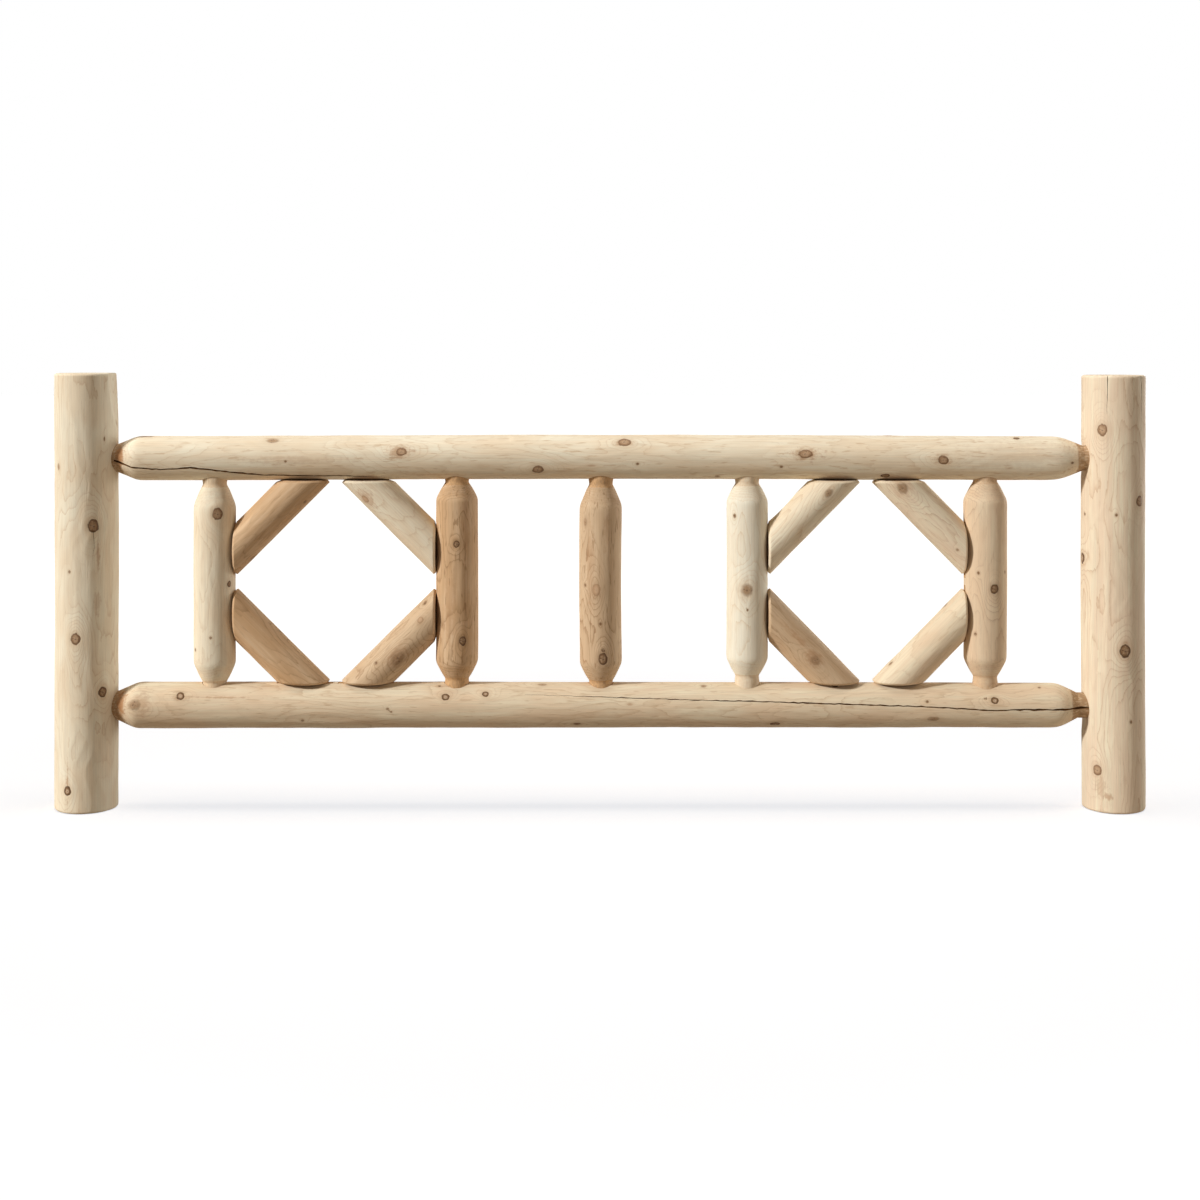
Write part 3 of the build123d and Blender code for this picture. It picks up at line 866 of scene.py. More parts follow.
def loose_solids(node):
    """The points of each separate solid of a CAD node."""
    same_point = 0.01 * MM
    copy = bmesh.new()
    copy.from_mesh(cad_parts[node].data)
    bmesh.ops.remove_doubles(copy, verts=copy.verts, dist=same_point)
    waiting = set(copy.verts)
    solids = []
    while waiting:
        edge = [waiting.pop()]
        solid = []
        while edge:
            vertex = edge.pop()
            solid.append(vertex.co.copy())
            for link in vertex.link_edges:
                other = link.other_vert(vertex)
                if other in waiting:
                    waiting.discard(other)
                    edge.append(other)
        solids.append(np.array(solid))
    copy.free()
    return solids


Screw = namedtuple("Screw", "head driven length shank rim")


def measure_screw(points):
    """Head, direction and sizes of a countersunk screw, from the points of its solid."""
    middle = points.mean(0)
    line = np.linalg.svd(points - middle)[2][0]
    places = (points - middle) @ line
    away = np.linalg.norm(points - middle - np.outer(places, line), axis=1)
    if places[away.argmax()] > 0:          # the head is the widest end
        line, places = -line, -places
    head = middle + line * places.min()
    sides = sorted(away[away > 1 * MM])    # without the points on its axis
    return Screw(Vector(head), Vector(line), float(np.ptp(places)), sides[0], sides[-1])


def fastener_cutter():
    """The bores of every screw, lag screw and insert, with the hollows over their heads."""
    joinery = settings("joinery")
    cutter = Cutter("fastener_bores")
    outside = 0.03           # the hollow over a head runs out of the log
    for node in SCREWS:
        for points in loose_solids(node):
            screw = measure_screw(points)
            rim = screw.rim + joinery.head_clearance
            shank = screw.shank + joinery.screw_clearance
            cutter.turn(screw.head, screw.driven, (
                (-outside, rim), (0, rim), (rim - shank, shank),
                (screw.length + joinery.screw_clearance, shank)), sides=24)
    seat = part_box("lag_washers")[0].y
    for points in loose_solids("rail_lag_screws"):
        low, high = Vector(points.min(0)), Vector(points.max(0))
        shank = np.hypot(*(points[:, [0, 2]] - [(low.x + high.x) / 2, (low.z + high.z) / 2]).T)
        shank = shank[points[:, 1] < seat].max() + joinery.screw_clearance
        mouth = Vector(((low.x + high.x) / 2, seat, (low.z + high.z) / 2))
        cutter.turn(mouth, -BACK, (
            (-outside, joinery.lag_recess / 2), (0, joinery.lag_recess / 2), (0, shank),
            (mouth.y - low.y, shank)), sides=32)
    for points in loose_solids("side_rail_inserts"):
        low, high = Vector(points.min(0)), Vector(points.max(0))
        mouth = Vector(((low.x + high.x) / 2, high.y, (low.z + high.z) / 2))
        hole = (high.x - low.x) / 2 + joinery.screw_clearance
        deep = high.y - low.y
        cutter.turn(mouth, -BACK, (
            (-outside, hole), (deep, hole), (deep, joinery.bolt_bore / 2),
            (deep + joinery.bolt_room, joinery.bolt_bore / 2)), sides=32)
    return cutter


def crack_path(log, crack):
    """The listed line of a check, made finer and a little ragged."""
    spots = [(*log.spot(across, up), width * MM) for across, up, width in crack.points]
    return ragged_path(log, spots, crack.depth * MM)


def ragged_path(log, spots, depth):
    """A path for Cutter.wedge along (height, angle, width)."""
    stride = 0.009
    astray = 0.8                 # mm to either side
    shallow = 0.25               # share of the depth that the narrowest stretch keeps
    path = []
    widest = max(width for _, _, width in spots)
    for near, far in zip(spots, spots[1:]):
        steps = max(2, round(abs(far[0] - near[0]) / stride))
        for step in range(steps):
            share = step / steps
            height, angle, width = (a + (b - a) * share for a, b in zip(near, far))
            angle += log.chance.uniform(-astray, astray) * MM / log.radius
            width *= log.chance.uniform(0.7, 1.3)
            path.append((log.point(height, angle), log.outward(angle), width,
                         depth * (shallow + (1 - shallow) * width / widest)))
    height, angle, width = spots[-1]
    path.append((log.point(height, angle), log.outward(angle), width, depth * 0.3))
    return path


def checks_behind(log):
    """A long drying check on the side that faces the mattress."""
    if log.name.startswith("brace"):
        return []
    stations = 7
    depth_for_width = 3.2
    narrowest = 0.4
    widest = 2.2 if log.name in SPINDLES else 3.2
    first = log.chance.uniform(0.14, 0.3) * log.length
    last = log.chance.uniform(0.55, 0.85) * log.length
    angle = math.pi * log.chance.uniform(0.62, 0.85)
    spots = []
    for station in range(stations):
        share = station / (stations - 1)
        width = narrowest + widest * math.sin(math.pi * share)
        angle += log.chance.uniform(-0.035, 0.035)
        spots.append((first + (last - first) * share, angle, width * MM))
    return [ragged_path(log, spots, depth_for_width * widest * MM)]


def star_checks(log):
    """Checks that run from the heart of a post's sawn ends to its rim."""
    arms, apart = 3, 2.1               # about a third of a turn apart
    heart, depth = 1.5 * MM, 7 * MM
    paths = []
    for height, up in ((log.length, Vector((0, 0, 1))), (0.0, Vector((0, 0, -1)))):
        turn = log.chance.uniform(0, 2 * math.pi)
        for arm in range(arms):
            angle = turn + arm * apart + log.chance.uniform(-0.4, 0.4)
            reach = log.radius * log.chance.uniform(0.55, 0.85)
            path = []
            for share in (0.0, 0.25, 0.5, 0.75, 1.0):
                radius = heart + reach * share
                swing = angle + log.chance.uniform(-0.05, 0.05)
                width = (0.5 + 1.5 * math.sin(math.pi * min(share + 0.2, 1.0))) * MM
                path.append((log.point(height, swing, radius), up, width, depth))
            paths.append(path)
    return paths


def check_cutters(log):
    """One cutter for each check, because checks may cross."""
    paths = [crack_path(log, crack) for crack in CRACKS.get(log.name, ())]
    paths += checks_behind(log)
    if log.name in POSTS:
        paths += star_checks(log)
    cutters = []
    for path in paths:
        cutter = Cutter(f"{log.name}_check", finish=OPEN_CHECK)
        cutter.wedge(path)
        cutters.append(cutter)
    return cutters


# ------------------------------------------------------------------------------- materials
def new_shader_group(name, inputs, outputs):
    """A group of shader nodes."""
    return new_group("ShaderNodeTree", name, inputs, outputs)


def growth_rings_group():
    """Year rings of a log along Z. Where the surface dips through them they make long lines."""
    net, given = new_shader_group(
        "Growth Rings",
        {"Vector": "Vector", "Ring Width": "Float", "Wander": "Float", "Spread": "Float"},
        {"Line": "Float", "Band": "Float"})
    ragged_by = 2.2 * MM         # how far the edge of a ring strays
    at = given["Vector"]
    x, y, _ = net.split(at)
    slow = net.noise(at, (11.0, 11.0, 2.6), detail=1.5) - 0.5
    jagged = net.noise(at, (95.0, 95.0, 22.0), detail=3.0, roughness=0.58) - 0.5
    depth = (net.math("SQRT", x * x + y * y) + slow * given["Wander"] + jagged * ragged_by
             + given["Spread"])
    year = net.math("FRACT", depth / given["Ring Width"])
    line = net.math("POWER", year, 7.0) * (1.0 - net.rise(year, 0.95, 1.0))
    band = net.math("PINGPONG", depth / (given["Ring Width"] * 3.7), 0.5) * 2.0
    patch = net.rise(net.noise(at, (16.0, 16.0, 5.0)), 0.36, 0.62)
    net.finish({"Line": line * (0.35 + 1.15 * patch), "Band": band})
    return net.tree


def fibre_group():
    """Fine streaks along the grain, slow blotches and short dark flecks."""
    net, given = new_shader_group(
        "Wood Fibre", {"Vector": "Vector"},
        {"Streak": "Float", "Blotch": "Float", "Fleck": "Float", "Strand": "Float"})
    at = given["Vector"]
    streak = net.noise(at, (420.0, 420.0, 9.0), detail=3.0, roughness=0.6)
    blotch = net.noise(at, (24.0, 24.0, 9.0), detail=2.5, roughness=0.55)
    strand = net.noise(at, (110.0, 110.0, 3.4), detail=3.0)
    fleck = net.rise(net.noise(at, (230.0, 230.0, 30.0), detail=2.0), 0.60, 0.70)
    net.finish({"Streak": streak, "Blotch": net.rise(blotch, 0.36, 0.64),
                "Fleck": fleck, "Strand": net.rise(strand, 0.42, 0.62)})
    return net.tree


def knots_group():
    """Knots at the places that the mesh gives, with rims, hearts, halos and checks."""
    net, given = new_shader_group(
        "Knots", {"Vector": "Vector"},
        {"Core": "Float", "Rim": "Float", "Heart": "Float", "Halo": "Float", "Check": "Float",
         "Light": "Float", "Age Rings": "Float"})
    across, along, away = net.split(net.attribute("knot"))       # 1 is the edge of the knot
    dark, heart, light = net.split(net.attribute("knot_look"))
    exact = net.math("SQRT", across * across + along * along)
    ragged = (net.noise(given["Vector"], (150.0, 150.0, 110.0), detail=2.0) - 0.5) * 0.55
    edge = exact + (away - exact) * net.rise(away, 1.6, 2.0) + ragged
    crisp = net.rise(heart, 0.0, 0.1)         # a knot without a heart has no clear edge
    core = (1.0 - net.rise(edge, 0.35 + 0.51 * crisp, 1.15 - 0.13 * crisp)) * (0.5 + 0.5 * dark)
    shown = 0.35 + 0.65 * dark
    rim = net.rise(edge, 0.70, 0.86) * (1.0 - net.rise(edge, 0.93, 1.08)) * shown
    rim = rim * (0.12 + 0.88 * crisp)
    specks = net.rise(net.noise(given["Vector"], (330.0, 330.0, 240.0), detail=2.0), 0.50, 0.62)
    middle = net.math("MAXIMUM", (1.0 - net.rise(edge, 0.22, 0.60)) * heart,
                      specks * (1.0 - net.rise(edge, 0.5, 0.8)) * dark * 0.45)
    halo = (1.0 - net.rise(edge, 0.9, 2.3)) * (0.3 + 0.7 * dark)
    rings = net.math("PINGPONG", edge * 1.35 + 0.5, 0.5) * 2.0
    split_at = net.vector(across * 1.1, along * 2.6, 0.0)
    split = net.noise(split_at, (1.7, 1.7, 1.0), detail=2.0)
    check = net.rise(split, 0.56, 0.64) * (1.0 - net.rise(edge, 0.5, 0.9)) * dark
    net.finish({"Core": core, "Rim": rim, "Heart": middle, "Halo": halo, "Check": check,
                "Light": light, "Age Rings": rings * core * shown})
    return net.tree


def peeled_wood_group(rings, fibre, knots):
    """The whole surface of a peeled log along Z: colour, roughness and height in mm."""
    net, given = new_shader_group(
        "Peeled Wood",
        {"Vector": "Vector", "Wood": "Color", "Blush": "Color", "Line": "Color",
         "Turned": "Color", "Knot": "Color", "Light Knot": "Color", "Knot Rim": "Color",
         "Light Rim": "Color", "Heart": "Color", "Stain": "Color", "Neck": "Float",
         "Turned Reach": "Float", "Turned Share": "Float", "Rings": "Float",
         "Streaks": "Float", "Flecks": "Float"},
        {"Color": "Color", "Roughness": "Float", "Height": "Float"})
    torn_edge = 1.8 * MM         # how ragged the brown of a neck ends
    lathe_from, lathe_to = 12 * MM, 16 * MM      # where its tool marks fade, over its radius
    tool_turns = 2200.0          # radians a metre, for a tool mark every 2.9 mm
    at = given["Vector"]
    spread, stain_away, stain_strength = net.split(net.attribute("wood"))
    growth = net.group(rings, {"Vector": at, "Ring Width": 2.3 * MM, "Wander": 42 * MM,
                               "Spread": spread})
    grain = net.group(fibre, {"Vector": at})
    knot = net.group(knots, {"Vector": at})
    x, y, height_along = net.split(at)
    radius = net.math("SQRT", x * x + y * y)
    ragged = (net.noise(at, (160.0, 160.0, 60.0), detail=2.0) - 0.5) * torn_edge
    turned = 1.0 - net.rise(radius + ragged, given["Neck"] + 0.7 * given["Turned Reach"],
                            given["Neck"] + given["Turned Reach"])
    lathe = 1.0 - net.rise(radius, given["Neck"] + lathe_from, given["Neck"] + lathe_to)
    rings_cut = net.math("SINE", height_along * tool_turns) * lathe
    torn = net.noise(at, (300.0, 300.0, 120.0), detail=2.0)
    mottle = net.noise(at, (130.0, 130.0, 85.0), detail=3.0, roughness=0.65) - 0.5
    patch = 1.0 - net.rise(stain_away + (grain["Streak"] - 0.5) * 1.2 + mottle * 2.8
                           + (grain["Blotch"] - 0.5) * 0.5, 0.25, 1.15)

    colour = net.tint(given["Wood"], given["Blush"],
                      grain["Blotch"] * 0.46 + growth["Band"] * 0.30)
    colour = net.tint(colour, given["Blush"], (1.0 - grain["Strand"]) * given["Streaks"])
    colour = net.tint(colour, given["Line"], growth["Line"] * given["Rings"])
    fine = 0.85 + grain["Streak"] * 0.30
    colour = net.tint(colour, net.add("ShaderNodeCombineColor", {0: fine, 1: fine, 2: fine}),
                      1.0, "MULTIPLY")
    colour = net.tint(colour, given["Line"], grain["Fleck"] * given["Flecks"])
    colour = net.tint(colour, given["Line"], lathe * (0.10 + 0.10 * rings_cut))
    rough = net.tint(given["Turned"], given["Line"], net.rise(torn, 0.40, 0.62) * 0.45)
    rough = net.tint(rough, given["Wood"], net.rise(torn, 0.54, 0.68) * 0.26)
    colour = net.tint(colour, rough, turned * given["Turned Share"])
    colour = net.tint(colour, given["Stain"], patch * stain_strength)
    colour = net.tint(colour, given["Line"], knot["Halo"] * 0.34)
    body = net.tint(given["Knot"], given["Light Knot"], knot["Light"])
    colour = net.tint(colour, body, knot["Core"])
    colour = net.tint(colour, given["Knot Rim"], knot["Age Rings"] * 0.50)
    colour = net.tint(colour, given["Heart"], knot["Heart"] * 0.70)
    bark = net.tint(given["Knot Rim"], given["Light Rim"], knot["Light"])
    colour = net.tint(colour, bark, knot["Rim"] * 0.76)
    colour = net.tint(colour, given["Knot Rim"], knot["Check"] * 0.75)

    roughness = 0.60 + grain["Streak"] * 0.14 + turned * 0.10 - knot["Core"] * 0.12
    chatter = net.noise(at, (95.0, 95.0, 38.0), detail=2.0)
    height = (chatter * 0.36 + grain["Streak"] * 0.22 - growth["Line"] * 0.12
              - grain["Fleck"] * 0.15 + rings_cut * 0.05
              - knot["Rim"] * 0.35 - knot["Check"] * 0.6 + knot["Age Rings"] * 0.12
              - turned * torn * 0.7)
    net.finish({"Color": colour, "Roughness": roughness, "Height": height})
    return net.tree


def new_material(name):
    """An empty material with its net and the wire of its Object coordinates."""
    material = bpy.data.materials.new(name)
    material.use_nodes = True
    material.node_tree.nodes.clear()
    net = Net(material.node_tree)
    return material, net, net.add("ShaderNodeTexCoord", output="Object")


def finish_material(net, shader_inputs, height=None):
    """Ends a material with its shader and, if given, a height in mm."""
    if height is not None:
        shader_inputs["Normal"] = net.add("ShaderNodeBump", {
            "Strength": 1.0, "Distance": MM, "Height": height})
    shader = net.add("ShaderNodeBsdfPrincipled", shader_inputs)
    net.add("ShaderNodeOutputMaterial", {"Surface": shader})


# How far the brown of the necks climbs their shoulders, in mm of radius over the tenon's.
TURNED_REACH = {"top_rail": 7, "bottom_rail": 9}
TURNED_MORE = 4          # further up the low end of a rail
TURNED_LEAST = 1         # on every other log
NO_NECK = -0.02          # a radius that no point of a log without tenons comes near


def log_wood(log, look):
    """The peeled surface of one log, in its own tone."""
    colours = settings("colours")
    material, net, at = new_material(f"{look.tone} wood of {log.name}")
    along = net.add("ShaderNodeMapping", {
        "Vector": at, "Location": log.low, "Rotation": log.place.to_euler()},
        vector_type="TEXTURE")
    moved = net.add("ShaderNodeVectorMath", {0: along, 1: (0.0, 0.0, log.luck[0])},
                    operation="ADD")
    tone = {part: getattr(colours, look.tone + part) for part in ("", "_blush", "_line")}
    turned, reach = colours.turned, TURNED_LEAST * MM
    if log.name in RAILS:
        turned = colours.turned_dark
        _, _, height = net.split(along)
        near = net.math("LESS_THAN", height, log.length / 2)
        reach = near * (TURNED_MORE * MM) + TURNED_REACH[log.name] * MM
    wood = net.group(bpy.data.node_groups["Peeled Wood"], {
        "Vector": moved, "Wood": tone[""], "Blush": tone["_blush"], "Line": tone["_line"],
        "Turned": turned, "Knot": colours.knot, "Light Knot": colours.knot_light,
        "Knot Rim": colours.knot_rim, "Light Rim": colours.rim_light, "Heart": colours.heart,
        "Stain": colours.stain, "Neck": log.tenon / 2 if log.tenon else NO_NECK,
        "Turned Reach": reach, "Turned Share": look.turned,
        "Rings": look.rings, "Streaks": look.streaks, "Flecks": look.flecks})
    finish_material(net, {"Base Color": wood["Color"], "Roughness": wood["Roughness"],
                          "Specular IOR Level": 0.16}, wood["Height"])
    return material


def raw_wood(name, base, line):
    """Wood that a cutter or a drying crack has laid open. The dark of an open check is painted shade deep in the
    crack.
    """
    material, net, at = new_material(name)
    streak = net.noise(at, (300.0, 300.0, 300.0), detail=3.0, roughness=0.65)
    patch = net.rise(net.noise(at, (45.0, 45.0, 45.0), detail=1.0), 0.35, 0.65)
    shade = net.tint(base, line, patch * 0.5 + streak * 0.4)
    finish_material(net, {"Base Color": shade, "Roughness": 0.72 + streak * 0.2,
                          "Specular IOR Level": 0.02}, streak * 0.8)
    return material


def zinc_plate():
    """Plated steel with a little tarnish and scuffing."""
    base = settings("colours").zinc
    material, net, at = new_material("zinc plate")
    tarnish = net.rise(net.noise(at, (260.0, 260.0, 260.0), detail=3.0), 0.38, 0.66)
    scuff = net.noise(at, (1500.0, 400.0, 1500.0), detail=2.0)
    shade = net.tint(base, [0.62 * value for value in base], tarnish * 0.55)
    finish_material(net, {"Base Color": shade, "Metallic": 1.0,
                          "Roughness": 0.28 + tarnish * 0.14 + scuff * 0.10}, scuff * 0.03)
    return material


def prepare_wood():
    """Builds the node groups, the three raw woods and the cutter of the bores, once."""
    if "Peeled Wood" not in bpy.data.node_groups:
        colours = settings("colours")
        peeled_log_tree()
        peeled_wood_group(growth_rings_group(), fibre_group(), knots_group())
        raw_wood("bored wood", colours.bored, colours.turned)
        # the checks get painted shade: a dark brown for the shade deep inside them
        raw_wood("open check", colours.check, colours.knot_rim)
        raw_wood("sawn end", colours.sawn, colours.check)
        fastener_cutter().ready([None, bpy.data.materials["bored wood"],
                                 bpy.data.materials["open check"]]).hide_render = True


# ------------------------------------------------------------------------------- the pieces
PAST_LOG = 0.1           # the block that cuts a flat runs out of the log by this much

# How strongly the ring lines, warm streaks and dark flecks show, and the brown of the necks.
Look = namedtuple("Look", "tone slot rings streaks flecks turned", defaults=(0.85,))
TONES = {
    "left_post": Look("pale", "cream_log", 0.50, 0.12, 0.12),
    "right_post": Look("honey", "cream_log", 0.50, 0.60, 0.12),
    "top_rail": Look("pale", "cream_log", 0.36, 0.32, 0.58, 0.90),
    "bottom_rail": Look("cream", "cream_log", 0.45, 0.35, 0.45, 0.95),
    "spindle_1": Look("pale", "cream_log", 0.45, 0.15, 0.15, 0.45),
    "spindle_2": Look("amber", "amber_log", 0.58, 0.35, 0.55),
    "spindle_3": Look("tan", "tan_log", 0.64, 0.35, 0.55),
    "spindle_4": Look("ivory", "cream_log", 0.45, 0.18, 0.10, 0.40),
    "spindle_5": Look("rose", "rose_log", 0.50, 0.25, 0.20, 0.35),
    "brace_left_upper_left": Look("amber", "amber_log", 0.55, 0.35, 0.20),
    "brace_left_upper_right": Look("pale", "cream_log", 0.42, 0.30, 0.25),
    "brace_left_lower_left": Look("amber", "tan_log", 0.50, 0.35, 0.25),
    "brace_left_lower_right": Look("tan", "amber_log", 0.52, 0.35, 0.30),
    "brace_right_upper_left": Look("pale", "cream_log", 0.45, 0.30, 0.25),
    "brace_right_upper_right": Look("honey", "rose_log", 0.50, 0.30, 0.30),
    "brace_right_lower_left": Look("tan", "tan_log", 0.55, 0.35, 0.30),
    "brace_right_lower_right": Look("cream", "cream_log", 0.32, 0.30, 0.25),
}


def lay_end_grain(piece, log, slot):
    """Gives both sawn ends of a mitred log another material slot."""
    at_the_cut = 0.2 * MM
    for polygon in piece.data.polygons:
        side, height = polygon.center.x, polygon.center.z
        if min(height - log.low_slope * side,
               log.length + log.high_slope * side - height) < at_the_cut:
            polygon.material_index = slot


def make_log(log, sides, ring_gap, joints=()):
    """Peels, marks and cuts one log, and puts it in the place of its CAD node."""
    look = TONES[log.name]
    finishes = [log_wood(log, look), bpy.data.materials["bored wood"],
                bpy.data.materials["open check"]]
    piece = peel(log, bpy.data.node_groups["Peeled Log"], finishes[0], sides, ring_gap)
    for finish in finishes[1:]:
        piece.data.materials.append(finish)
    if log.tip_side:
        lay_end_grain(piece, log, SAWN_END)
        finishes.append(bpy.data.materials["sawn end"])
        piece.data.materials.append(finishes[-1])
    marks = Marks(log)
    carve_relief(piece, log, marks)
    piece.data.transform(log.place)
    cutters = [cutter.ready(finishes) for cutter in (*joints, *check_cutters(log))]
    carve(piece, [bpy.data.objects["fastener_bores"], *cutters])
    scrap(*cutters)
    write_marks(piece, log, marks)
    piece.data.shade_smooth()
    piece.data.set_sharp_from_angle(angle=SHARP)
    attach(piece, "root")
    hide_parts(log.name)


def rail_ends(name):
    """Inner and outer stations of a rail, and the neck and shoulder of its right end."""
    joinery = settings("joinery")
    index = RAILS.index(name)
    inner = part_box("right_post")[0].x
    low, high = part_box(name)
    return {
        "axis": (low.z + high.z) / 2,
        "from": low.x,
        "to": high.x,
        "low_neck": -inner - joinery.shoulder_entry - low.x,
        "high_neck": high.x - inner + joinery.rail_right_necks[index],
        "high_shoulder": joinery.rail_right_shoulders[index],
    }


class LOGBED_OT_posts(bpy.types.Operator):
    """Make the two posts, with the mortises of the rails and the hollows of the right post"""

    bl_idname = "log_bed.posts"
    bl_label = "Make Posts"

    def execute(self, context):
        prepare_wood()
        surface = settings("surface")
        for name in POSTS:
            low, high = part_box(name)
            middle = (low.x + high.x) / 2
            log = Log(name, (middle, 0, 0), (middle, 0, high.z), high.x - low.x,
                      ease=surface.post_ease)
            cutters = [self.mortises(name)]
            if name == "right_post":
                cutters.append(self.scoops(low.x))
            make_log(log, surface.post_sides, surface.ring_gap, cutters)
        return {"FINISHED"}

    @staticmethod
    def mortises(name):
        """The round holes of both rails, with the reamed mouths of the left post."""
        joinery = settings("joinery")
        outside = 0.01           # a hole runs out of the log
        cutter = Cutter(f"{name}_mortises")
        thin = joinery.tenon / 2 + joinery.clearance
        for rail in RAILS:
            ends = rail_ends(rail)
            thick = (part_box(rail)[1].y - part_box(rail)[0].y) / 2 + joinery.clearance
            if name == "left_post":
                start = Vector((ends["from"] - joinery.end_room, 0, ends["axis"]))
                neck = ends["low_neck"] + joinery.end_room
                cutter.turn(start, Vector((1, 0, 0)), (
                    (0, thin), (neck, thin), (neck + joinery.rail_left_shoulder, thick)))
            else:
                start = Vector((ends["to"] + joinery.end_room, 0, ends["axis"]))
                depth = ends["high_neck"] + joinery.end_room
                cutter.turn(start, Vector((-1, 0, 0)), ((0, thin), (depth + outside, thin)))
        return cutter

    @staticmethod
    def scoops(face):
        """Hollows gouged across the right post, round its mortises."""
        joinery = settings("joinery")
        half_length = 0.09       # past the front and the back of the post
        cutter = Cutter("right_post_scoops", finish=OWN_WOOD)
        for rail, chord, drop in zip(RAILS, joinery.scoop_chords, joinery.scoop_drops):
            depth = joinery.scoop_depth
            radius = (chord**2 / 4 + depth**2) / (2 * depth)
            start = Vector((face + depth - radius, -half_length, rail_ends(rail)["axis"] - drop))
            cutter.turn(start, BACK, ((0, radius), (2 * half_length, radius)), sides=180)
        return cutter


class LOGBED_OT_rails(bpy.types.Operator):
    """Make the two rails, with the mortises of the spindles and the flats under the braces"""

    bl_idname = "log_bed.rails"
    bl_label = "Make Rails"

    def execute(self, context):
        prepare_wood()
        joinery, surface = settings("joinery"), settings("surface")
        for name in RAILS:
            ends = rail_ends(name)
            low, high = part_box(name)
            log = Log(name, (ends["from"], 0, ends["axis"]), (ends["to"], 0, ends["axis"]),
                      high.y - low.y, tenon=joinery.tenon, low_neck=ends["low_neck"],
                      low_shoulder=joinery.rail_left_shoulder, high_neck=ends["high_neck"],
                      high_shoulder=ends["high_shoulder"],
                      low_softness=surface.rail_softness[0],
                      high_softness=surface.rail_softness[1])
            make_log(log, surface.log_sides, surface.rail_ring_gap, [self.joints(name)])
        return {"FINISHED"}

    @staticmethod
    def joints(name):
        """Mortises for the spindles, and flats for the braces that end on this rail."""
        joinery = settings("joinery")
        outside = 0.02           # a hole runs out of the log
        thin = joinery.tenon / 2 + joinery.clearance
        cutter = Cutter(f"{name}_joints")
        low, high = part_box(name)
        edge, inwards = (low.z, 1) if name == "top_rail" else (high.z, -1)
        for spindle in SPINDLES:
            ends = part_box(spindle)
            middle = (ends[0].x + ends[1].x) / 2
            depth = abs((ends[1].z if inwards > 0 else ends[0].z) - edge) + joinery.end_room
            cutter.turn(Vector((middle, 0, edge - outside * inwards)), Vector((0, 0, inwards)),
                        ((0, thin), (outside + depth, thin)))
        for brace in all_braces():
            if brace.rail == name:
                half = brace.rail_footprint / 2 + joinery.seat_margin
                seat = brace.rail_end
                past = seat.z - PAST_LOG * inwards
                cutter.block((seat.x - half, -PAST_LOG, min(seat.z, past)),
                             (seat.x + half, PAST_LOG, max(seat.z, past)))
        return cutter


class LOGBED_OT_spindles(bpy.types.Operator):
    """Make the five spindles between the rails"""

    bl_idname = "log_bed.spindles"
    bl_label = "Make Spindles"

    def execute(self, context):
        prepare_wood()
        joinery, surface = settings("joinery"), settings("surface")
        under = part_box("top_rail")[0].z
        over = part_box("bottom_rail")[1].z
        for index, name in enumerate(SPINDLES):
            low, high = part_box(name)
            middle = (low.x + high.x) / 2
            log = Log(name, (middle, 0, low.z), (middle, 0, high.z), high.y - low.y,
                      tenon=joinery.tenon,
                      low_neck=over - low.z + joinery.spindle_bottom_necks[index],
                      low_shoulder=joinery.spindle_bottom_shoulders[index],
                      high_neck=high.z - under + joinery.spindle_top_necks[index],
                      high_shoulder=joinery.spindle_top_shoulders[index],
                      low_softness=surface.spindle_softness,
                      high_softness=surface.spindle_softness, waist=surface.spindle_waist)
            make_log(log, surface.log_sides, surface.ring_gap, [self.seats(name)])
        return {"FINISHED"}

    @staticmethod
    def seats(name):
        """Flats for the braces that end on this spindle."""
        margin = settings("joinery").seat_margin
        cutter = Cutter(f"{name}_seats")
        for brace in all_braces():
            if brace.spindle == name:
                half = brace.spindle_footprint / 2 + margin
                seat = brace.spindle_end
                past = seat.x - PAST_LOG * brace.outwards
                cutter.block((min(seat.x, past), -PAST_LOG, seat.z - half),
                             (max(seat.x, past), PAST_LOG, seat.z + half))
        return cutter


class Brace:
    """Where one brace meets its rail and its spindle."""

    def __init__(self, bay, level, side):
        joinery = settings("joinery")
        left, right = BAYS[bay]
        self.name = f"brace_{bay}_{level}_{side}"
        self.spindle = left if side == "left" else right
        self.rail = "top_rail" if level == "upper" else "bottom_rail"
        self.outwards = -1 if side == "left" else 1
        self.upwards = 1 if level == "upper" else -1
        left_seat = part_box(left)[1].x - joinery.seat_depth
        right_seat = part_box(right)[0].x + joinery.seat_depth
        under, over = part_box("top_rail")[0].z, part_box("bottom_rail")[1].z
        middle, waist = (left_seat + right_seat) / 2, (under + over) / 2
        half_width = (right_seat - left_seat) / 2
        half_height = under - waist + joinery.seat_depth
        slope = math.atan2(half_height - joinery.waist_gap / 2, half_width - joinery.peak_gap / 2)
        self.rail_footprint = joinery.brace / math.sin(slope)
        self.spindle_footprint = joinery.brace / math.cos(slope)
        self.rail_end = Vector((
            middle + self.outwards * (joinery.peak_gap + self.rail_footprint) / 2, 0,
            waist + self.upwards * half_height))
        self.spindle_end = Vector((
            middle + self.outwards * half_width, 0,
            waist + self.upwards * (joinery.waist_gap + self.spindle_footprint) / 2))


def all_braces():
    """The eight braces of the two diamonds."""
    return [Brace(bay, level, side) for bay in BAYS for level in ("upper", "lower")
            for side in ("left", "right")]


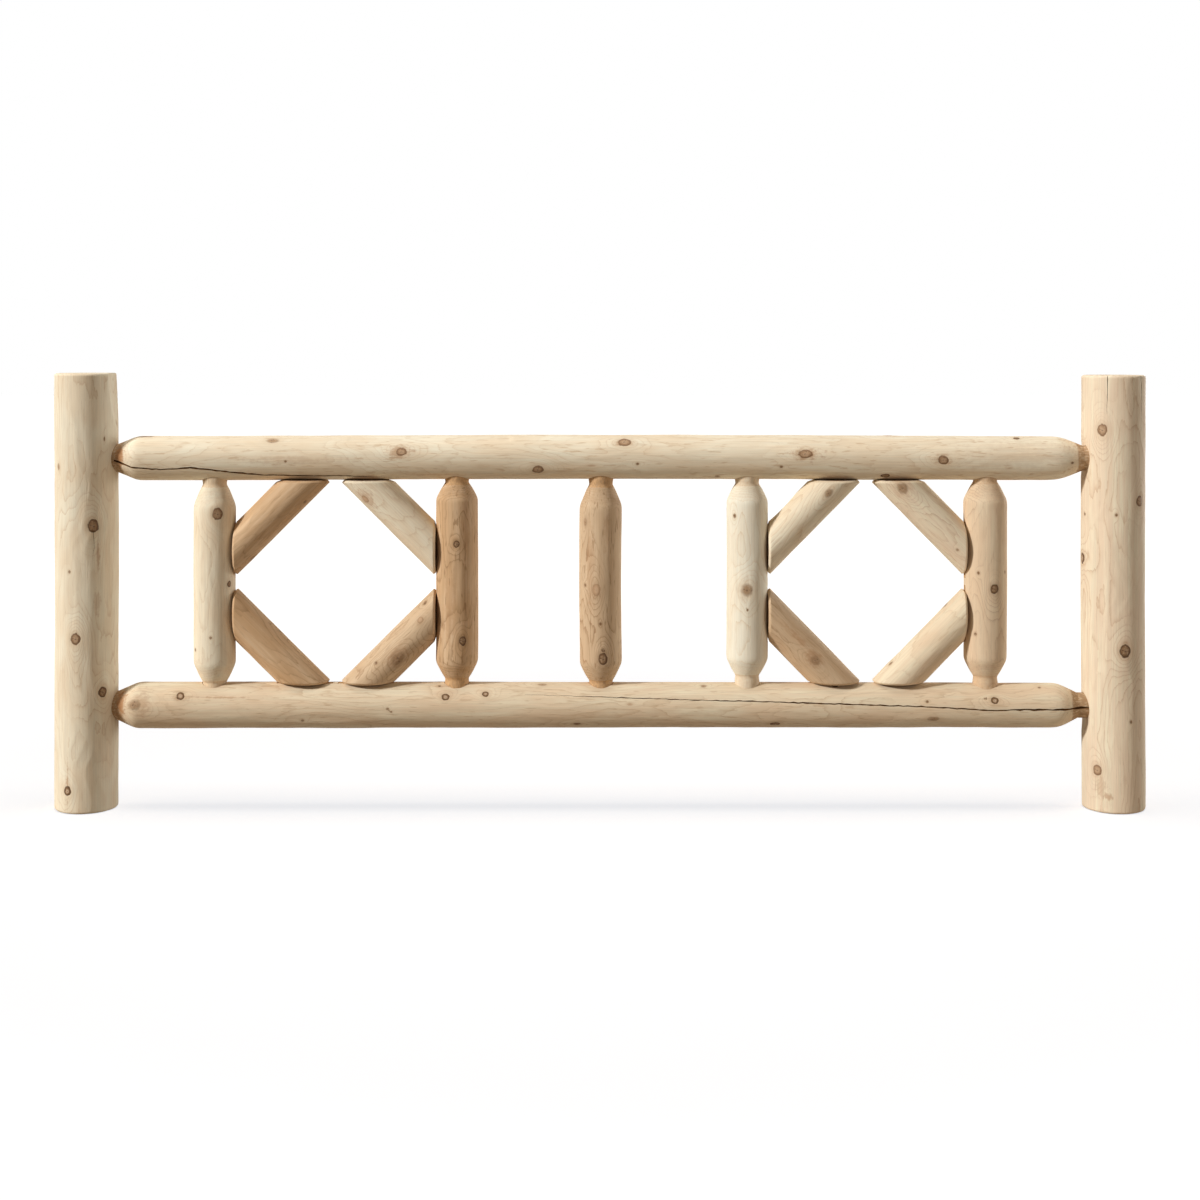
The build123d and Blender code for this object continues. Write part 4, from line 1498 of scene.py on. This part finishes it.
class LOGBED_OT_braces(bpy.types.Operator):
    """Make the eight mitred braces of the two diamonds"""

    bl_idname = "log_bed.braces"
    bl_label = "Make Braces"

    def execute(self, context):
        prepare_wood()
        joinery, surface = settings("joinery"), settings("surface")
        for brace in all_braces():
            along = (brace.rail_end - brace.spindle_end).normalized()
            low_slope = -along.z / along.x
            log = Log(brace.name, brace.spindle_end, brace.rail_end, joinery.brace,
                      low_slope=low_slope, high_slope=along.x / along.z,
                      tip_side=math.copysign(1, -low_slope), ease=surface.brace_ease,
                      blunt=surface.brace_blunt, crispness=surface.brace_crispness)
            make_log(log, surface.log_sides, surface.ring_gap)
        return {"FINISHED"}


class LOGBED_OT_fasteners(bpy.types.Operator):
    """Give the screws, washers and inserts their plated finish"""

    bl_idname = "log_bed.fasteners"
    bl_label = "Finish Fasteners"

    def execute(self, context):
        zinc = zinc_plate()
        for node in FASTENERS:
            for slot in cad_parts[node].material_slots:
                slot.material = zinc
        return {"FINISHED"}


# ------------------------------------------------------------------------------- the studio
def seen_share(net):
    """1 for rays that show the surroundings to the camera, in metal or through glass."""
    path = net.add("ShaderNodeLightPath")
    share = net.math("MAXIMUM", path["Is Camera Ray"], path["Is Glossy Ray"])
    return net.math("MAXIMUM", share, path["Is Transmission Ray"])


AIM = Vector((0.0, 0.0, 0.45))       # the lamps face the middle of the bed end
OVERHEAD = "top"
LAMPS = {                            # width, height and place
    OVERHEAD: (3.0, 2.2, (0.0, -0.2, 6.0)),
    "key": (1.8, 1.8, (-14.4, -7.0, 8.6)),
    "rim": (2.4, 2.0, (3.6, 2.2, 1.2)),
    "fill": (1.6, 1.6, (3.6, -2.6, 1.0)),
}


def area_lamp(name, watts, width, height, place):
    """A soft lamp that faces the bed end."""
    light = bpy.data.lights.new(name, "AREA")
    light.shape = "RECTANGLE"
    light.size = width
    light.size_y = height
    light.energy = watts
    lamp = bpy.data.objects.new(name, light)
    lamp.location = place
    lamp.rotation_euler = (AIM - Vector(place)).to_track_quat("-Z", "Y").to_euler()
    bpy.context.scene.collection.objects.link(lamp)
    return lamp


class LOGBED_OT_studio(bpy.types.Operator):
    """Set the camera, the lamps, the white world and the pale floor"""

    bl_idname = "log_bed.studio"
    bl_label = "Set Studio"

    def execute(self, context):
        studio = settings("studio")
        self.camera(context.scene, studio)
        lamps = {name: area_lamp(f"{name}_lamp", getattr(studio, name), *shape)
                 for name, shape in LAMPS.items()}
        self.spare(self.floor(), [lamps[name] for name in lamps if name != OVERHEAD])
        self.world(context.scene, studio)
        context.scene.view_settings.view_transform = "Standard"
        return {"FINISHED"}

    @staticmethod
    def camera(scene, studio):
        """A level camera, shifted down to frame the bed end."""
        data = bpy.data.cameras.new("camera")
        data.sensor_width = 36.0
        data.lens = data.sensor_width * studio.eye_distance / studio.view_width
        data.shift_y = (studio.view_middle - studio.eye_height) / studio.view_width
        camera = bpy.data.objects.new("camera", data)
        camera.location = (0, -studio.eye_distance, studio.eye_height)
        camera.rotation_euler = (math.radians(90), 0, 0)
        scene.collection.objects.link(camera)
        scene.camera = camera

    @staticmethod
    def floor():
        """A pale floor whose own light keeps it white to the camera."""
        reach = 30.0
        mesh = bpy.data.meshes.new("floor")
        mesh.from_pydata([(-reach, -reach, 0), (reach, -reach, 0), (reach, reach, 0),
                          (-reach, reach, 0)], [], [(0, 1, 2, 3)])
        floor = new_piece("floor", mesh)
        material, net, at = new_material("studio floor")
        mottle = net.noise(at, (3.0, 3.0, 3.0), detail=2.0)
        colours = settings("colours")
        shade = net.tint(colours.floor, [0.97 * value for value in colours.floor], mottle)
        lit = net.add("ShaderNodeBsdfDiffuse", {"Color": shade})
        away = net.add("ShaderNodeVectorMath", {0: at}, output=1, operation="LENGTH")
        far = net.rise(away, 1.3, 2.6)       # plain white beyond the shadow of the bed end
        glow = net.add("ShaderNodeEmission", {
            "Color": net.tint(colours.floor_glow, WHITE, far),
            "Strength": seen_share(net)})
        both = net.add("ShaderNodeAddShader", {0: lit, 1: glow})
        net.add("ShaderNodeOutputMaterial", {"Surface": both})
        mesh.materials.append(material)
        return floor

    @staticmethod
    def spare(floor, lamps):
        """Keeps lamps off the floor, so that only the lamp overhead casts a shadow on it."""
        spared = bpy.data.collections.new("floor without side light")
        spared.objects.link(floor)
        for lamp in lamps:
            lamp.light_linking.receiver_collection = spared
        spared.collection_objects[0].light_linking.link_state = "EXCLUDE"

    @staticmethod
    def world(scene, studio):
        """A world that is white to the camera and lights the bed end weakly and warmly."""
        scene.world = bpy.data.worlds.new("white world")
        scene.world.use_nodes = True
        scene.world.node_tree.nodes.clear()
        net = Net(scene.world.node_tree)
        seen = seen_share(net)
        light = net.add("ShaderNodeBackground", {
            "Color": net.tint(settings("colours").sky, WHITE, seen),
            "Strength": studio.sky + seen * (1.0 - studio.sky)})
        net.add("ShaderNodeOutputWorld", {"Surface": light})


class LOGBED_PT_panel(bpy.types.Panel):
    """The steps that build the bed end, in order"""

    bl_idname = "LOGBED_PT_panel"
    bl_label = "Log Bed End"
    bl_space_type = "VIEW_3D"
    bl_region_type = "UI"
    bl_category = "Log Bed"

    def draw(self, context):
        for step in STEPS:
            self.layout.operator(step)
        for part in PARTS_OF_SETTINGS:
            group = settings(part)
            box = self.layout.box()
            box.label(text=part.capitalize())
            for name in group.__annotations__:
                box.prop(group, name)


STEPS = ("log_bed.studio", "log_bed.posts", "log_bed.rails", "log_bed.spindles",
         "log_bed.braces", "log_bed.fasteners")
PARTS_OF_SETTINGS = {
    "joinery": LogBedJoinery,
    "surface": LogBedSurface,
    "colours": LogBedColours,
    "studio": LogBedStudio,
}
CLASSES = (
    *PARTS_OF_SETTINGS.values(),
    LOGBED_OT_studio,
    LOGBED_OT_posts,
    LOGBED_OT_rails,
    LOGBED_OT_spindles,
    LOGBED_OT_braces,
    LOGBED_OT_fasteners,
    LOGBED_PT_panel,
)


def register():
    """Adds the classes to Blender, and the settings to its scenes."""
    for cls in CLASSES:
        bpy.utils.register_class(cls)
    for part, cls in PARTS_OF_SETTINGS.items():
        setattr(bpy.types.Scene, f"log_bed_{part}", PointerProperty(type=cls))


def unregister():
    """Takes them away again."""
    for part in PARTS_OF_SETTINGS:
        delattr(bpy.types.Scene, f"log_bed_{part}")
    for cls in reversed(CLASSES):
        bpy.utils.unregister_class(cls)


def main():
    """Builds the whole bed end in order."""
    register()
    bpy.ops.log_bed.studio()
    bpy.ops.log_bed.posts()
    bpy.ops.log_bed.rails()
    bpy.ops.log_bed.spindles()
    bpy.ops.log_bed.braces()
    bpy.ops.log_bed.fasteners()
    scrap(bpy.data.objects["fastener_bores"])


if __name__ == "__main__":
    main()
